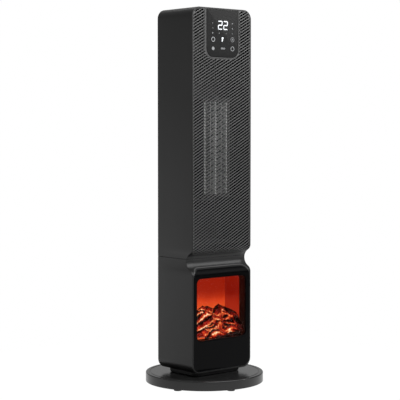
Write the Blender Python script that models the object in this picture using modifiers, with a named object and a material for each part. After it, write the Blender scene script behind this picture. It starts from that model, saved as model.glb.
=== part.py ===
"""Tower heater with a lit ember window: a round base, a tower that swivels on it, and what they hold.

Metres, +Z up. The front faces -Y. The origin is on the floor, on the swivel axis.
Each named piece is one object. The cutters are in a collection of their own.
"""

import math

import bmesh
import bpy
from mathutils import Matrix, Vector

# Fit: the gap between pieces that touch, and how far a cutter or a joined piece overruns
seat_gap = 0.0003
overrun = 0.010
weld_depth = 0.0006
merge_reach = 0.000001

# Base
base_radius = 0.125
base_height = 0.020
base_wall = 0.0025
rim_bevel = 0.0018
rim_groove_inset = 0.0075
rim_groove_width = 0.0026
rim_groove_depth = 0.0010
foot_height = 0.004
foot_radius = 0.009
foot_taper_share = 0.89
foot_inset = 0.0155
foot_count = 6
foot_first_angle = 19.3
base_plate_thickness = 0.003
round_steps = 48

# Swivel: the fixed spindle and its collar, the washer that the tower turns on, and the sector drive
swivel_gap = 0.0083
swivel_reach = 35.0
collar_radius = 0.042
washer_thickness = 0.0012
spindle_radius = 0.016
spindle_bore_radius = 0.0125
spindle_rise = 0.0128
spindle_clearance = 0.001
sector_lift = 0.0008
gear_thickness = 0.0045
gear_module = 0.0008
sector_full_teeth = 56
sector_spare_teeth = 2
sector_hub_wall = 0.0042
pinion_teeth = 14
pressure_angle = 20.0
addendum_share = 0.8
dedendum_share = 1.25
tooth_thinning = 0.00012
retainer_height = 0.0036
retainer_wall = 0.0046
swivel_motor_radius = 0.020
swivel_motor_height = 0.016
swivel_motor_lift = 0.0012
swivel_bracket_thickness = 0.0015
swivel_bracket_length = 0.058
swivel_bracket_width = 0.024
swivel_post = 0.005
pinion_shaft_radius = 0.002

# Tower: two sleeves that meet at the seam, with a round-cornered front outline
tower_depth = 0.113
upper_height = 0.5186
tower_corner_radius = 0.020
shell_wall = 0.0025
corner_steps = 6

# Neck groove: two lip arcs and a hollow arc across the front, turned back at the mitred corners
groove_height = 0.058
groove_depth = 0.0158
groove_below_seam = 0.005
groove_lip_share = 0.41
groove_side_share = 1.22
groove_mitre_share = 1.06
lip_steps = 4
hollow_steps = 4

# Front grille
grille_thickness = 0.002
grille_recess = 0.0003
grille_above_seam = 0.009
grille_corner_radius = 0.0125
grille_pitch = 0.028
grille_hole_share = 0.74
grille_margin = 0.004

# Control fascia
fascia_width = 0.093
fascia_height = 0.101
fascia_radius = 0.020
fascia_proud = 0.0015
fascia_chamfer = 0.004
fascia_thickness = 0.0035
fascia_boss_radius = 0.003
fascia_boss_length = 0.0032
fascia_boss_inset = 0.009
display_width = 0.034
display_height = 0.024
display_drop = 0.033
board_thickness = 0.0016

# Lower front panel and its window
panel_thickness = 0.0025
panel_below_seam = 0.0165
panel_corner_radius = 0.0155
window_width = 0.136
window_height = 0.129
window_side_margin = 0.0135
window_rise = 0.0677
window_to_seam = 0.041
window_radius = 0.0105
pane_thickness = 0.0015
pane_margin = 0.003
surround_wall = 0.0018
surround_depth = 0.0170

# Flame box, its lamp board and the ember bed
flame_box_depth = 0.047
flame_box_wall = 0.0018
lamp_board_inset = 0.008
lamp_size = 0.005
lamp_height = 0.0016
lamp_count = 5
bed_side_gap = 0.002
bed_front_lip_share = 0.07
bed_shoulder_share = 0.22
bed_ridge_share = 0.46
bed_step_shares = (0.34, 0.68)
log_taper_share = 0.75
log_sides = 9

# Heating element
element_width = 0.0625
element_height = 0.193
element_depth = 0.014
element_setback = 0.020
element_above_seam = 0.133
bar_width = 0.0018
bar_count = 5
fin_fold = 0.0064
fin_run = 0.0011
heater_frame_wall = 0.006
heater_frame_depth = 0.0175
heater_frame_lip = 0.002
cutout_radius = 0.008
cutout_height = 0.006

# Blower: a tangential wheel on an upright axis in a scroll housing, and its shaded-pole motor
wheel_radius = 0.027
wheel_ring = 0.0062
wheel_end_clearance = 0.0035
wheel_disc = 0.0018
wheel_blades = 15
blade_thickness = 0.0014
blade_sweep = 26.0
wheel_axis_y = 0.012
wheel_stub_length = 0.010
housing_plate = 0.0025
housing_wall = 0.002
housing_back = 0.0505
housing_side_gap = 0.0003
scroll_start_angle = 82.0
scroll_end_angle = -28.0
scroll_clearance = 0.0026
scroll_growth = 0.0068
scroll_steps = 9
tongue_rise = 0.0165
tongue_tip_angle = 206.0
duct_margin = 0.0002
shaft_radius = 0.0025
shaft_clearance = 0.0004
bush_radius = 0.007
bush_length = 0.005
bush_flange = 0.003
motor_width = 0.046
motor_front_reach = 0.019
motor_back_reach = 0.032
motor_stack = 0.018
motor_drop = 0.006
motor_leg = 0.007
rotor_radius = 0.0125
rotor_gap = 0.0006
coil_build = 0.006
motor_strip_width = 0.014
motor_strip_thickness = 0.0016
motor_post_radius = 0.0025

# Shelf between the compartments, power board and tilt switch
shelf_thickness = 0.002
shelf_above_seam = 0.0275
shelf_front_gap = 0.0200
power_board_width = 0.100
power_board_height = 0.110
power_board_rise = 0.0777
power_post_radius = 0.003
power_post_length = 0.0155
relay_size = 0.016
relay_spread_share = 0.25
relay_rise_share = 0.75
capacitor_radius = 0.009
capacitor_length = 0.026
capacitor_rise_share = 0.25
component_reach = 0.013
tilt_switch_width = 0.020
tilt_switch_depth = 0.016
tilt_switch_height = 0.014
tilt_switch_inset = 0.0285
tilt_switch_y = 0.026

# Rear covers, handle recess and the pull-off intake grille
cover_thickness = 0.0025
intake_width = 0.120
intake_height = 0.240
intake_above_seam = 0.110
intake_radius = 0.008
intake_ledge = 0.004
intake_ledge_depth = 0.003
intake_border = 0.007
intake_bar = 0.0045
intake_rows = 14
intake_columns = 2
pad_thickness = 0.0022
recess_width = 0.100
recess_height = 0.030
recess_depth = 0.024
recess_wall = 0.002
recess_below_top = 0.064
recess_radius = 0.006

# Rear switch and cord bush
switch_width = 0.014
switch_height = 0.021
switch_depth = 0.017
switch_bezel = 0.0015
switch_bezel_height = 0.0018
switch_wall = 0.0014
switch_x = 0.040
switch_rise = 0.046
rocker_clearance = 0.0005
rocker_tilt = 9.0
rocker_crown = 0.0034
rocker_waist = 0.0014
rocker_pivot_depth = 0.0018
rocker_root = 0.0065
bush_x = -0.040
cord_bush_rise = 0.040
cord_bush_radius = 0.0062
cord_bush_flange = 0.0028
cord_bush_flange_height = 0.0024
cord_bush_length = 0.012
cord_bore_radius = 0.0039

# Levels and planes that the sizes above give
tower_width = window_width + 2 * window_side_margin
front = -tower_depth / 2
back = tower_depth / 2
side = tower_width / 2
base_bottom = foot_height
base_top = base_bottom + base_height
tower_bottom = base_top + swivel_gap
window_bottom = tower_bottom + window_rise
window_top = window_bottom + window_height
seam = window_top + window_to_seam
tower_top = seam + upper_height
groove_middle = seam - groove_below_seam
inner_side = side - shell_wall
inner_bottom = tower_bottom + shell_wall
inner_top = tower_top - shell_wall
grille_bottom = seam + grille_above_seam
panel_top = seam - panel_below_seam
pane_front = front + panel_thickness + seat_gap
surround_front = pane_front + pane_thickness + seat_gap
flame_box_front = surround_front + surround_depth + seat_gap
flame_box_back = flame_box_front + flame_box_depth
element_front = front + element_setback
element_bottom = seam + element_above_seam
element_top = element_bottom + element_height
heater_frame_front = element_front - heater_frame_lip
heater_frame_back = heater_frame_front + heater_frame_depth
housing_front = heater_frame_back + seat_gap
housing_low = element_bottom - wheel_end_clearance - heater_frame_wall
housing_high = element_top + wheel_end_clearance + heater_frame_wall
wheel_low = housing_low + housing_plate + wheel_end_clearance
wheel_high = housing_high - housing_plate - wheel_end_clearance
motor_high = housing_low - motor_drop
motor_low = motor_high - motor_stack
cover_front = back - cover_thickness
switch_level = tower_bottom + switch_rise
bush_level = tower_bottom + cord_bush_rise
floor_top = inner_bottom
sector_low = floor_top + sector_lift
sector_high = sector_low + gear_thickness
retainer_low = sector_high + seat_gap
retainer_high = retainer_low + retainer_height
spindle_top = floor_top + spindle_rise
gear_distance = gear_module * (sector_full_teeth + pinion_teeth) / 2
sector_teeth = 2 * (math.ceil(swivel_reach * sector_full_teeth / 360) + sector_spare_teeth) + 1
swivel_plate_low = max(spindle_top, retainer_high) + swivel_motor_lift
swivel_plate_high = swivel_plate_low + swivel_bracket_thickness
fascia_bottom = inner_top - seat_gap - fascia_height
fascia_back = front - fascia_proud + fascia_thickness

parts = None
cutters = None


def clear_scene():
    for thing in list(bpy.data.objects):
        bpy.data.objects.remove(thing, do_unlink=True)


def new_collection(name):
    made = bpy.data.collections.new(name)
    bpy.context.scene.collection.children.link(made)
    return made


def linear(channel):
    """One sRGB channel, 0 to 1, as a linear value."""
    return channel / 12.92 if channel <= 0.04045 else ((channel + 0.055) / 1.055) ** 2.4


def finish_of(name, colour, roughness, metallic):
    """A Principled material of its own for one piece; colour is an sRGB hex value."""
    made = bpy.data.materials.new(name + " finish")
    made.use_nodes = True
    shader = made.node_tree.nodes["Principled BSDF"]
    channels = [linear((colour >> shift & 255) / 255) for shift in (16, 8, 0)]
    shader.inputs["Base Color"].default_value = (*channels, 1.0)
    shader.inputs["Roughness"].default_value = roughness
    shader.inputs["Metallic"].default_value = metallic
    made.diffuse_color = (*channels, 1.0)
    return made


# Finishes: colour, roughness, metallic
satin_black = (0x3A3A3B, 0.45, 0.0)
matte_black = (0x2E2E2F, 0.60, 0.0)
mesh_grey = (0x3C3C3D, 0.50, 0.0)
gloss_black = (0x131314, 0.12, 0.0)
rubber_black = (0x1A1A1A, 0.85, 0.0)
clear_acrylic = (0xB9BDBF, 0.05, 0.0)
flame_white = (0xC0481E, 0.60, 0.0)
ember_red = (0x6A1A0C, 0.55, 0.0)
board_green = (0x1F4A30, 0.50, 0.0)
fin_metal = (0xA9ABAC, 0.35, 1.0)
zinc_steel = (0x8C8F92, 0.40, 1.0)
core_steel = (0x55585B, 0.50, 1.0)
copper_wire = (0xA5623A, 0.40, 1.0)
nylon_white = (0xD8D6CE, 0.55, 0.0)
heat_resin = (0x232324, 0.70, 0.0)
foam_grey = (0x47484A, 0.95, 0.0)


def add(name, mesh, finish):
    """The object of one piece, or of a cutter where it has no finish."""
    made = bpy.data.objects.new(name, mesh)
    if finish is None:
        cutters.objects.link(made)
        made.hide_render = True
        made.display_type = "WIRE"
    else:
        parts.objects.link(made)
        mesh.materials.append(finish_of(name, *finish))
    return made


def mesh_from(form, name, smooth_angle=None):
    bmesh.ops.recalc_face_normals(form, faces=form.faces)
    if form.calc_volume(signed=True) < 0:
        bmesh.ops.reverse_faces(form, faces=form.faces)
    mesh = bpy.data.meshes.new(name)
    form.to_mesh(mesh)
    form.free()
    if smooth_angle is not None:
        mesh.shade_smooth()
        mesh.set_sharp_from_angle(angle=math.radians(smooth_angle))
    return mesh


def box(name, low, high, finish=None):
    low, high = Vector(low), Vector(high)
    form = bmesh.new()
    bmesh.ops.create_cube(form, size=1, matrix=Matrix.LocRotScale((low + high) / 2, None, high - low))
    return add(name, mesh_from(form, name), finish)


def turn_to(axis):
    """The matrix that stands a form's Z along the named axis."""
    return {
        "X": Matrix.Rotation(math.pi / 2, 4, "Y"),
        "Y": Matrix.Rotation(-math.pi / 2, 4, "X"),
        "Z": Matrix.Identity(4),
    }[axis]


def rod(name, start, axis, length, radius, finish=None, steps=24, end_radius=None):
    """A round bar or cone from start, along +axis for its length."""
    form = bmesh.new()
    bmesh.ops.create_cone(
        form,
        cap_ends=True,
        segments=steps,
        radius1=radius,
        radius2=radius if end_radius is None else end_radius,
        depth=length,
        matrix=Matrix.Translation(start) @ turn_to(axis) @ Matrix.Translation((0, 0, length / 2)),
    )
    return add(name, mesh_from(form, name, 40), finish)


def turned(name, profile, finish=None, steps=round_steps):
    """A turned piece: its profile is a closed loop of (radius, z), down the outer side first."""
    form = bmesh.new()
    verts = [form.verts.new((radius, 0, z)) for radius, z in profile]
    for i, vert in enumerate(verts):
        form.edges.new((vert, verts[(i + 1) % len(verts)]))
    mesh = bpy.data.meshes.new(name)
    form.to_mesh(mesh)
    form.free()
    made = add(name, mesh, finish)
    screw = made.modifiers.new("turn", "SCREW")
    screw.axis = "Z"
    screw.steps = steps
    screw.render_steps = steps
    screw.use_merge_vertices = True
    screw.merge_threshold = merge_reach
    return made


def plate(name, loops, axis, low, high, finish=None, smooth_angle=None):
    """Flat outlines, filled with their inner loops as holes and made thick along an axis.

    The outline's two numbers are (y, z) for axis X, (x, z) for axis Y and (x, y) for axis Z.
    """
    curve = bpy.data.curves.new(name + " outline", "CURVE")
    curve.dimensions = "2D"
    curve.fill_mode = "BOTH"
    curve.extrude = (high - low) / 2
    for loop in loops:
        spline = curve.splines.new("POLY")
        spline.points.add(len(loop) - 1)
        for point, (u, v) in zip(spline.points, loop):
            point.co = (u, v, 0, 1)
        spline.use_cyclic_u = True
    outline = bpy.data.objects.new(name + " outline", curve)
    cutters.objects.link(outline)
    graph = bpy.context.evaluated_depsgraph_get()
    filled = bpy.data.meshes.new_from_object(outline.evaluated_get(graph))
    form = bmesh.new()
    form.from_mesh(filled)
    bmesh.ops.remove_doubles(form, verts=form.verts, dist=merge_reach)
    middle = (low + high) / 2
    for vert in form.verts:
        u, v, w = vert.co
        vert.co = {
            "X": (w + middle, u, v),
            "Y": (u, w + middle, v),
            "Z": (u, v, w + middle),
        }[axis]
    bpy.data.objects.remove(outline, do_unlink=True)
    bpy.data.curves.remove(curve)
    bpy.data.meshes.remove(filled)
    return add(name, mesh_from(form, name, smooth_angle), finish)


def loft(name, rings, finish=None, smooth_angle=None):
    """A closed form through rings of as many points each, with a flat cap at both ends."""
    form = bmesh.new()
    rows = [[form.verts.new(point) for point in ring] for ring in rings]
    for below, above in zip(rows, rows[1:]):
        for i in range(len(below)):
            j = (i + 1) % len(below)
            form.faces.new((below[i], below[j], above[j], above[i]))
    form.faces.new(rows[0])
    form.faces.new(rows[-1])
    return add(name, mesh_from(form, name, smooth_angle), finish)


def boolean(target, operation, *others):
    for other in others:
        step = target.modifiers.new(operation.lower() + " " + other.name, "BOOLEAN")
        step.operation = operation
        step.solver = "EXACT"
        step.object = other
    return target


def arc(centre, radius, start, end, steps):
    """Points on an arc between two angles in degrees, ends included."""
    angles = [math.radians(start + (end - start) * i / steps) for i in range(steps + 1)]
    return [(centre[0] + radius * math.cos(a), centre[1] + radius * math.sin(a)) for a in angles]


def circle(centre, radius, steps=24):
    return arc(centre, radius, 0, 360, steps)[:-1]


def rounded_rectangle(low, high, lower_radius, upper_radius, steps=corner_steps):
    """A rectangle with one radius at its lower corners and one at its upper; 0 leaves them square."""
    loop = []
    corners = (
        (low[0], low[1], 1, 1, 180, lower_radius),
        (high[0], low[1], -1, 1, 270, lower_radius),
        (high[0], high[1], -1, -1, 0, upper_radius),
        (low[0], high[1], 1, -1, 90, upper_radius),
    )
    for x, y, x_in, y_in, start, radius in corners:
        if radius > 0:
            loop += arc((x + x_in * radius, y + y_in * radius), radius, start, start + 90, steps)
        else:
            loop.append((x, y))
    return loop


def centred_rectangle(width, low, high, radius):
    return rounded_rectangle((-width / 2, low), (width / 2, high), radius, radius)


def ride_on(parent, *pieces):
    """Parents pieces that are modelled in place to the empty of the body that they belong to."""
    for piece in pieces:
        piece.parent = parent
        piece.matrix_parent_inverse = Matrix.Translation(parent.location).inverted()


def axis_empty(name, location):
    made = bpy.data.objects.new(name, None)
    made.location = location
    made.empty_display_size = tower_depth / 4
    parts.objects.link(made)
    return made


def groove_arcs():
    """The turn at the inflection, the lip radius and the hollow radius of the neck groove."""
    turn = 2 * math.atan(2 * groove_depth / groove_height)
    both = groove_height / 2 / math.sin(turn)
    lip = both * groove_lip_share
    return turn, lip, both - lip


def groove_points(offset):
    """(z, depth) down the neck groove from its upper lip, moved into the body by the offset."""
    turn, lip, hollow = groove_arcs()
    edge = groove_height / 2
    radius = lip - offset
    points = []
    for i in range(lip_steps):
        a = turn * i / lip_steps
        points.append((edge - radius * math.sin(a), lip - radius * math.cos(a)))
    for i in range(-hollow_steps, hollow_steps + 1):
        a = -turn * i / hollow_steps
        depth = groove_depth - hollow + (hollow + offset) * math.cos(a)
        points.append(((hollow + offset) * math.sin(a), depth))
    for i in reversed(range(lip_steps)):
        a = turn * i / lip_steps
        points.append((radius * math.sin(a) - edge, lip - radius * math.cos(a)))
    return [(groove_middle + z, depth) for z, depth in points]


def groove_form(name, offset):
    """What the groove takes from the body, made deeper by the offset: a loft of level sections.

    Across the front each section is straight. At a mitre it turns and runs back to the side face.
    """
    rings = []
    for z, depth in groove_points(offset):
        mitre = max(depth - offset, 0) * groove_mitre_share
        at_side = offset + max(depth - offset, 0) * groove_side_share
        slope = (at_side - depth) / mitre if mitre > 0 else 0
        past_side = front + at_side + slope * overrun
        rings.append([
            (-side - overrun, front - overrun, z),
            (-side - overrun, past_side, z),
            (-side + mitre, front + depth, z),
            (side - mitre, front + depth, z),
            (side + overrun, past_side, z),
            (side + overrun, front - overrun, z),
        ])
    return loft(name, rings)


def sleeve(name, low, high, lower_radius, upper_radius, groove, cavity):
    """One sleeve of the tower: the outer form less the neck groove and the inner space."""
    outline = rounded_rectangle((-side, low), (side, high), lower_radius, upper_radius)
    made = plate(name, [outline], "Y", front, back, satin_black, 30)
    return boolean(made, "DIFFERENCE", groove, cavity)


def make_sleeves():
    inner_radius = tower_corner_radius - shell_wall
    groove = groove_form("groove cutter", 0)
    neck_wall = groove_form("neck wall", shell_wall)
    low, high = (-inner_side, inner_bottom), (inner_side, inner_top)
    inner = rounded_rectangle(low, high, inner_radius, inner_radius)
    cavity = plate("inner space", [inner], "Y", front - overrun, back + overrun)
    boolean(cavity, "DIFFERENCE", neck_wall)
    lower_edge = seam - seat_gap / 2
    upper_edge = seam + seat_gap / 2
    lower = sleeve("lower_shell", tower_bottom, lower_edge, tower_corner_radius, 0, groove, cavity)
    upper = sleeve("upper_shell", upper_edge, tower_top, 0, tower_corner_radius, groove, cavity)
    opening_back = front + groove_depth + shell_wall + overrun
    high = (inner_side, panel_top + seat_gap)
    outline = rounded_rectangle(low, high, inner_radius, panel_corner_radius + seat_gap)
    panel_opening = plate("panel opening", [outline], "Y", front - overrun, opening_back)
    low, high = (-inner_side, grille_bottom - seat_gap), (inner_side, inner_top)
    outline = rounded_rectangle(low, high, grille_corner_radius + seat_gap, inner_radius)
    grille_opening = plate("grille opening", [outline], "Y", front - overrun, opening_back)
    boolean(lower, "DIFFERENCE", panel_opening)
    boolean(upper, "DIFFERENCE", grille_opening)
    hole_radius = spindle_radius + spindle_clearance
    start = (0, 0, tower_bottom - overrun)
    boolean(lower, "DIFFERENCE", rod("spindle hole", start, "Z", shell_wall + 2 * overrun, hole_radius))
    return lower, upper


def front_sheet(name, low, high, thickness, recess, upper_half, finish):
    """A sheet that follows the tower's front face and one half of the neck groove."""
    outer = groove_points(recess)
    inner = groove_points(recess + thickness)
    half = len(outer) // 2
    if upper_half:
        outer, inner = outer[: half + 1], inner[: half + 1]
        run = [(high + overrun, recess)] + outer
        back_run = [(high + overrun, recess + thickness)] + inner
    else:
        outer, inner = outer[half:], inner[half:]
        run = outer + [(low - overrun, recess)]
        back_run = inner + [(low - overrun, recess + thickness)]
    loop = [(front + depth, z) for z, depth in run + back_run[::-1]]
    return plate(name, [loop], "X", -side, side, finish, 35)


def fascia_loop(inset, low_gap=0.0):
    """The fascia's outline, drawn in by the inset or, where it is less than 0, let out."""
    half = fascia_width / 2 - inset
    return rounded_rectangle(
        (-half, fascia_bottom + inset), (half, inner_top - seat_gap + low_gap), fascia_radius - inset, 0
    )


def make_grille():
    made = front_sheet(
        "front_grille", grille_bottom, inner_top, grille_thickness, grille_recess, True, mesh_grey
    )
    half = inner_side - seat_gap
    top_radius = tower_corner_radius - shell_wall - seat_gap
    low, high = (-half, grille_bottom), (half, inner_top - seat_gap)
    outline = rounded_rectangle(low, high, grille_corner_radius, top_radius)
    trim = plate("grille outline", [outline], "Y", front - overrun, front + groove_depth + overrun)
    notch_loop = fascia_loop(-seat_gap, overrun)
    notch = plate("fascia notch", [notch_loop], "Y", front - overrun, front + groove_depth)
    boolean(made, "INTERSECT", trim)
    boolean(made, "DIFFERENCE", notch, grille_holes())
    return made


def grille_holes():
    """Diamonds on a staggered lattice, left out where they would meet the border or the fascia."""
    reach = grille_pitch * grille_hole_share / 2
    low = groove_middle + groove_height / 2 + grille_margin + reach
    high = inner_top - grille_margin - reach
    across = inner_side - grille_margin - reach
    keep_out_half = fascia_width / 2 + grille_margin + reach
    keep_out_low = fascia_bottom - grille_margin - reach
    corner = inner_top - tower_corner_radius
    rows = int((high - low) / (grille_pitch / 2))
    columns = int(2 * across / (grille_pitch / 2))
    loops = []
    for row in range(rows + 1):
        z = low + row * grille_pitch / 2
        for column in range(-columns, columns + 1):
            x = column * grille_pitch / 2
            if abs(x) > across or (row + column) % 2:
                continue
            if z > keep_out_low and abs(x) < keep_out_half:
                continue
            if z > corner - reach and abs(x) > across - tower_corner_radius / 2:
                continue
            loops.append([(x - reach, z), (x, z - reach), (x + reach, z), (x, z + reach)])
    return plate("grille holes", loops, "Y", front - overrun, front + groove_depth)


def make_fascia():
    """The fascia plate with its sloped rim, and the bosses that carry the control board."""
    rings = []
    for y, inset in (
        (fascia_back, 0),
        (front, 0),
        (front - fascia_proud, fascia_chamfer),
    ):
        rings.append([(x, y, z) for x, z in fascia_loop(inset)])
    made = loft("control_fascia", rings, gloss_black, 20)
    along = fascia_width / 2 - fascia_boss_inset
    for i, (x, z) in enumerate(board_corners(along)):
        start = (x, fascia_back - weld_depth, z)
        length = fascia_boss_length + weld_depth
        boolean(made, "UNION", rod(f"fascia boss {i + 1}", start, "Y", length, fascia_boss_radius, steps=12))
    return made


def board_corners(along):
    low = fascia_bottom + fascia_radius
    high = inner_top - fascia_boss_inset
    return [(x, z) for x in (-along, along) for z in (low, high)]


def make_control_board():
    board_front = fascia_back + fascia_boss_length + seat_gap
    half = fascia_width / 2 - fascia_boss_inset + fascia_boss_radius
    board = box(
        "control_board",
        (-half, board_front, fascia_bottom + fascia_radius - fascia_boss_radius),
        (half, board_front + board_thickness, inner_top - fascia_boss_inset + fascia_boss_radius),
        board_green,
    )
    display_middle = inner_top - display_drop
    display = box(
        "display_module",
        (-display_width / 2, fascia_back + seat_gap, display_middle - display_height / 2),
        (display_width / 2, board_front - seat_gap, display_middle + display_height / 2),
        gloss_black,
    )
    return board, display


def make_front_panel():
    made = front_sheet("front_panel", inner_bottom, panel_top, panel_thickness, 0, False, gloss_black)
    half = inner_side - seat_gap
    low_radius = tower_corner_radius - shell_wall - seat_gap
    low, high = (-half, inner_bottom + seat_gap), (half, panel_top)
    outline = rounded_rectangle(low, high, low_radius, panel_corner_radius)
    trim = plate("panel outline", [outline], "Y", front - overrun, front + groove_depth + overrun)
    window = centred_rectangle(window_width, window_bottom, window_top, window_radius)
    opening = plate("window opening", [window], "Y", front - overrun, front + groove_depth)
    boolean(made, "INTERSECT", trim)
    boolean(made, "DIFFERENCE", opening)
    return made


def make_window():
    pane_loop = centred_rectangle(
        window_width + 2 * pane_margin, window_bottom - pane_margin, window_top + pane_margin, window_radius
    )
    pane = plate("window_pane", [pane_loop], "Y", pane_front, pane_front + pane_thickness, clear_acrylic)
    outer = centred_rectangle(
        window_width + 2 * surround_wall,
        window_bottom - surround_wall,
        window_top + surround_wall,
        window_radius + surround_wall,
    )
    inner = centred_rectangle(window_width, window_bottom, window_top, window_radius)
    far = surround_front + surround_depth
    surround = plate("window_surround", [outer, inner], "Y", surround_front, far, matte_black, 30)
    return pane, surround


def make_flame_box():
    """The lit box behind the window: open to the front, with its lamp board and the ember bed."""
    half = window_width / 2
    outer_low = (-half - flame_box_wall, flame_box_front, window_bottom - flame_box_wall)
    outer_high = (half + flame_box_wall, flame_box_back, window_top + flame_box_wall)
    made = box("flame_box", outer_low, outer_high, flame_white)
    space = box(
        "flame box space",
        (-half, flame_box_front - overrun, window_bottom),
        (half, flame_box_back - flame_box_wall, window_top),
    )
    boolean(made, "DIFFERENCE", space)
    board_low = window_bottom + seat_gap
    board_high = board_low + board_thickness
    board_half = half - lamp_board_inset
    board_near = flame_box_front + lamp_board_inset
    board_far = flame_box_back - flame_box_wall - lamp_board_inset
    low = (-board_half, board_near, board_low)
    board = box("lamp_board", low, (board_half, board_far, board_high), nylon_white)
    for i in range(lamp_count):
        x = board_half * (2 * i + 1 - lamp_count) / lamp_count
        y = (board_near + board_far) / 2
        lamp = box(
            f"lamp {i + 1}",
            (x - lamp_size / 2, y - lamp_size / 2, board_high - weld_depth),
            (x + lamp_size / 2, y + lamp_size / 2, board_high + lamp_height),
        )
        boolean(board, "UNION", lamp)
    return made, board, make_ember_bed(board_high + lamp_height + seat_gap)


# Ember logs, as shares of the bed: middle across, front to back, up, then length and radius,
# and their turn and tilt in degrees
log_shares = (
    (-0.26, 0.74, 0.84, 0.52, 0.062, 8, 14),
    (0.20, 0.80, 0.82, 0.60, 0.066, -10, -16),
    (-0.05, 0.58, 0.72, 0.46, 0.058, 34, -10),
    (0.28, 0.52, 0.58, 0.40, 0.056, -30, -12),
    (-0.30, 0.46, 0.56, 0.36, 0.056, 22, 20),
    (0.02, 0.34, 0.46, 0.48, 0.060, -14, 8),
    (-0.24, 0.20, 0.28, 0.42, 0.054, 10, -6),
    (0.22, 0.20, 0.26, 0.44, 0.056, -8, 4),
)


def make_ember_bed(bed_low):
    """A moulded bank of embers: a stepped wedge with tapered logs laid across it."""
    half = window_width / 2 - bed_side_gap
    near = surround_front + seat_gap
    far = flame_box_back - flame_box_wall - seat_gap
    lip = window_bottom + window_height * bed_front_lip_share
    shoulder = window_bottom + window_height * bed_shoulder_share
    ridge = window_bottom + window_height * bed_ridge_share
    depth = far - near
    toe = flame_box_front
    loop = [
        (near, window_bottom + seat_gap),
        (toe, window_bottom + seat_gap),
        (toe, bed_low),
        (far, bed_low),
        (far, ridge),
        (near + depth * bed_step_shares[1], ridge),
        (near + depth * bed_step_shares[0], shoulder),
        (near, lip),
    ]
    made = plate("ember_bed", [loop], "X", -half, half, ember_red)
    logs = []
    for i, (x, y, z, length, radius, turn, tilt) in enumerate(log_shares):
        form = bmesh.new()
        middle = (2 * half * x, near + depth * y, window_bottom + (ridge - window_bottom) * z)
        turned_by = Matrix.Rotation(math.radians(turn), 4, "Z") @ Matrix.Rotation(math.radians(tilt), 4, "Y")
        bmesh.ops.create_cone(
            form,
            cap_ends=True,
            segments=log_sides,
            radius1=window_height * radius,
            radius2=window_height * radius * log_taper_share,
            depth=window_width * length,
            matrix=Matrix.Translation(middle) @ turned_by @ turn_to("X"),
        )
        logs.append(add(f"ember log {i + 1}", mesh_from(form, "ember log"), None))
    boolean(made, "UNION", *logs)
    limit_loop = centred_rectangle(2 * half, window_bottom + seat_gap, window_top - seat_gap, window_radius)
    limit = plate("ember bed limit", [limit_loop], "Y", near, far)
    return boolean(made, "INTERSECT", limit)


def make_heater():
    """The element: upright electrode bars with folded fins between them, held in a frame."""
    inner_half = element_width / 2
    outer_half = inner_half + heater_frame_wall
    low = element_bottom - heater_frame_wall
    high = element_top + heater_frame_wall
    radius = heater_frame_wall / 2
    outer = rounded_rectangle((-outer_half, low), (outer_half, high), radius, radius, 3)
    inner = rounded_rectangle((-inner_half, element_bottom), (inner_half, element_top), 0, 0)
    frame = plate("heater_frame", [outer, inner], "Y", heater_frame_front, heater_frame_back, heat_resin)
    pieces = [frame]
    far = element_front + element_depth
    space = element_width - 2 * seat_gap
    bay = (space - bar_count * bar_width) / (bar_count - 1)
    for i in range(bar_count):
        x = -space / 2 + i * (bar_width + bay)
        edge = x + bar_width
        low_corner = (x, element_front, element_bottom + seat_gap)
        pieces.append(box(f"ptc_bar_{i + 1}", low_corner, (edge, far, element_top - seat_gap), fin_metal))
        if i < bar_count - 1:
            pieces.append(fold_fins(f"ptc_fins_{i + 1}", edge + seat_gap, edge + bay - seat_gap, far))
    cutout_start = (0, heater_frame_front + cutout_radius, high + seat_gap)
    pieces.append(rod("thermal_cutout", cutout_start, "Z", cutout_height, cutout_radius, zinc_steel, 20))
    return pieces


def fold_fins(name, left, right, far):
    """One strip folded to and fro between two bars, from the bottom of the element to its top."""
    low = element_bottom + seat_gap
    high = element_top - seat_gap
    folds = int((high - low) / fin_fold)
    edge = [((left, right - fin_run)[i % 2], low + (high - low) * i / folds) for i in range(folds + 1)]
    loop = edge + [(x + fin_run, z) for x, z in reversed(edge)]
    return plate(name, [loop], "Y", element_front, far, fin_metal)


def around(radius, angle):
    """A point at a radius and an angle in degrees from the wheel's axis, in plan."""
    a = math.radians(angle)
    return (radius * math.cos(a), wheel_axis_y + radius * math.sin(a))


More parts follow.
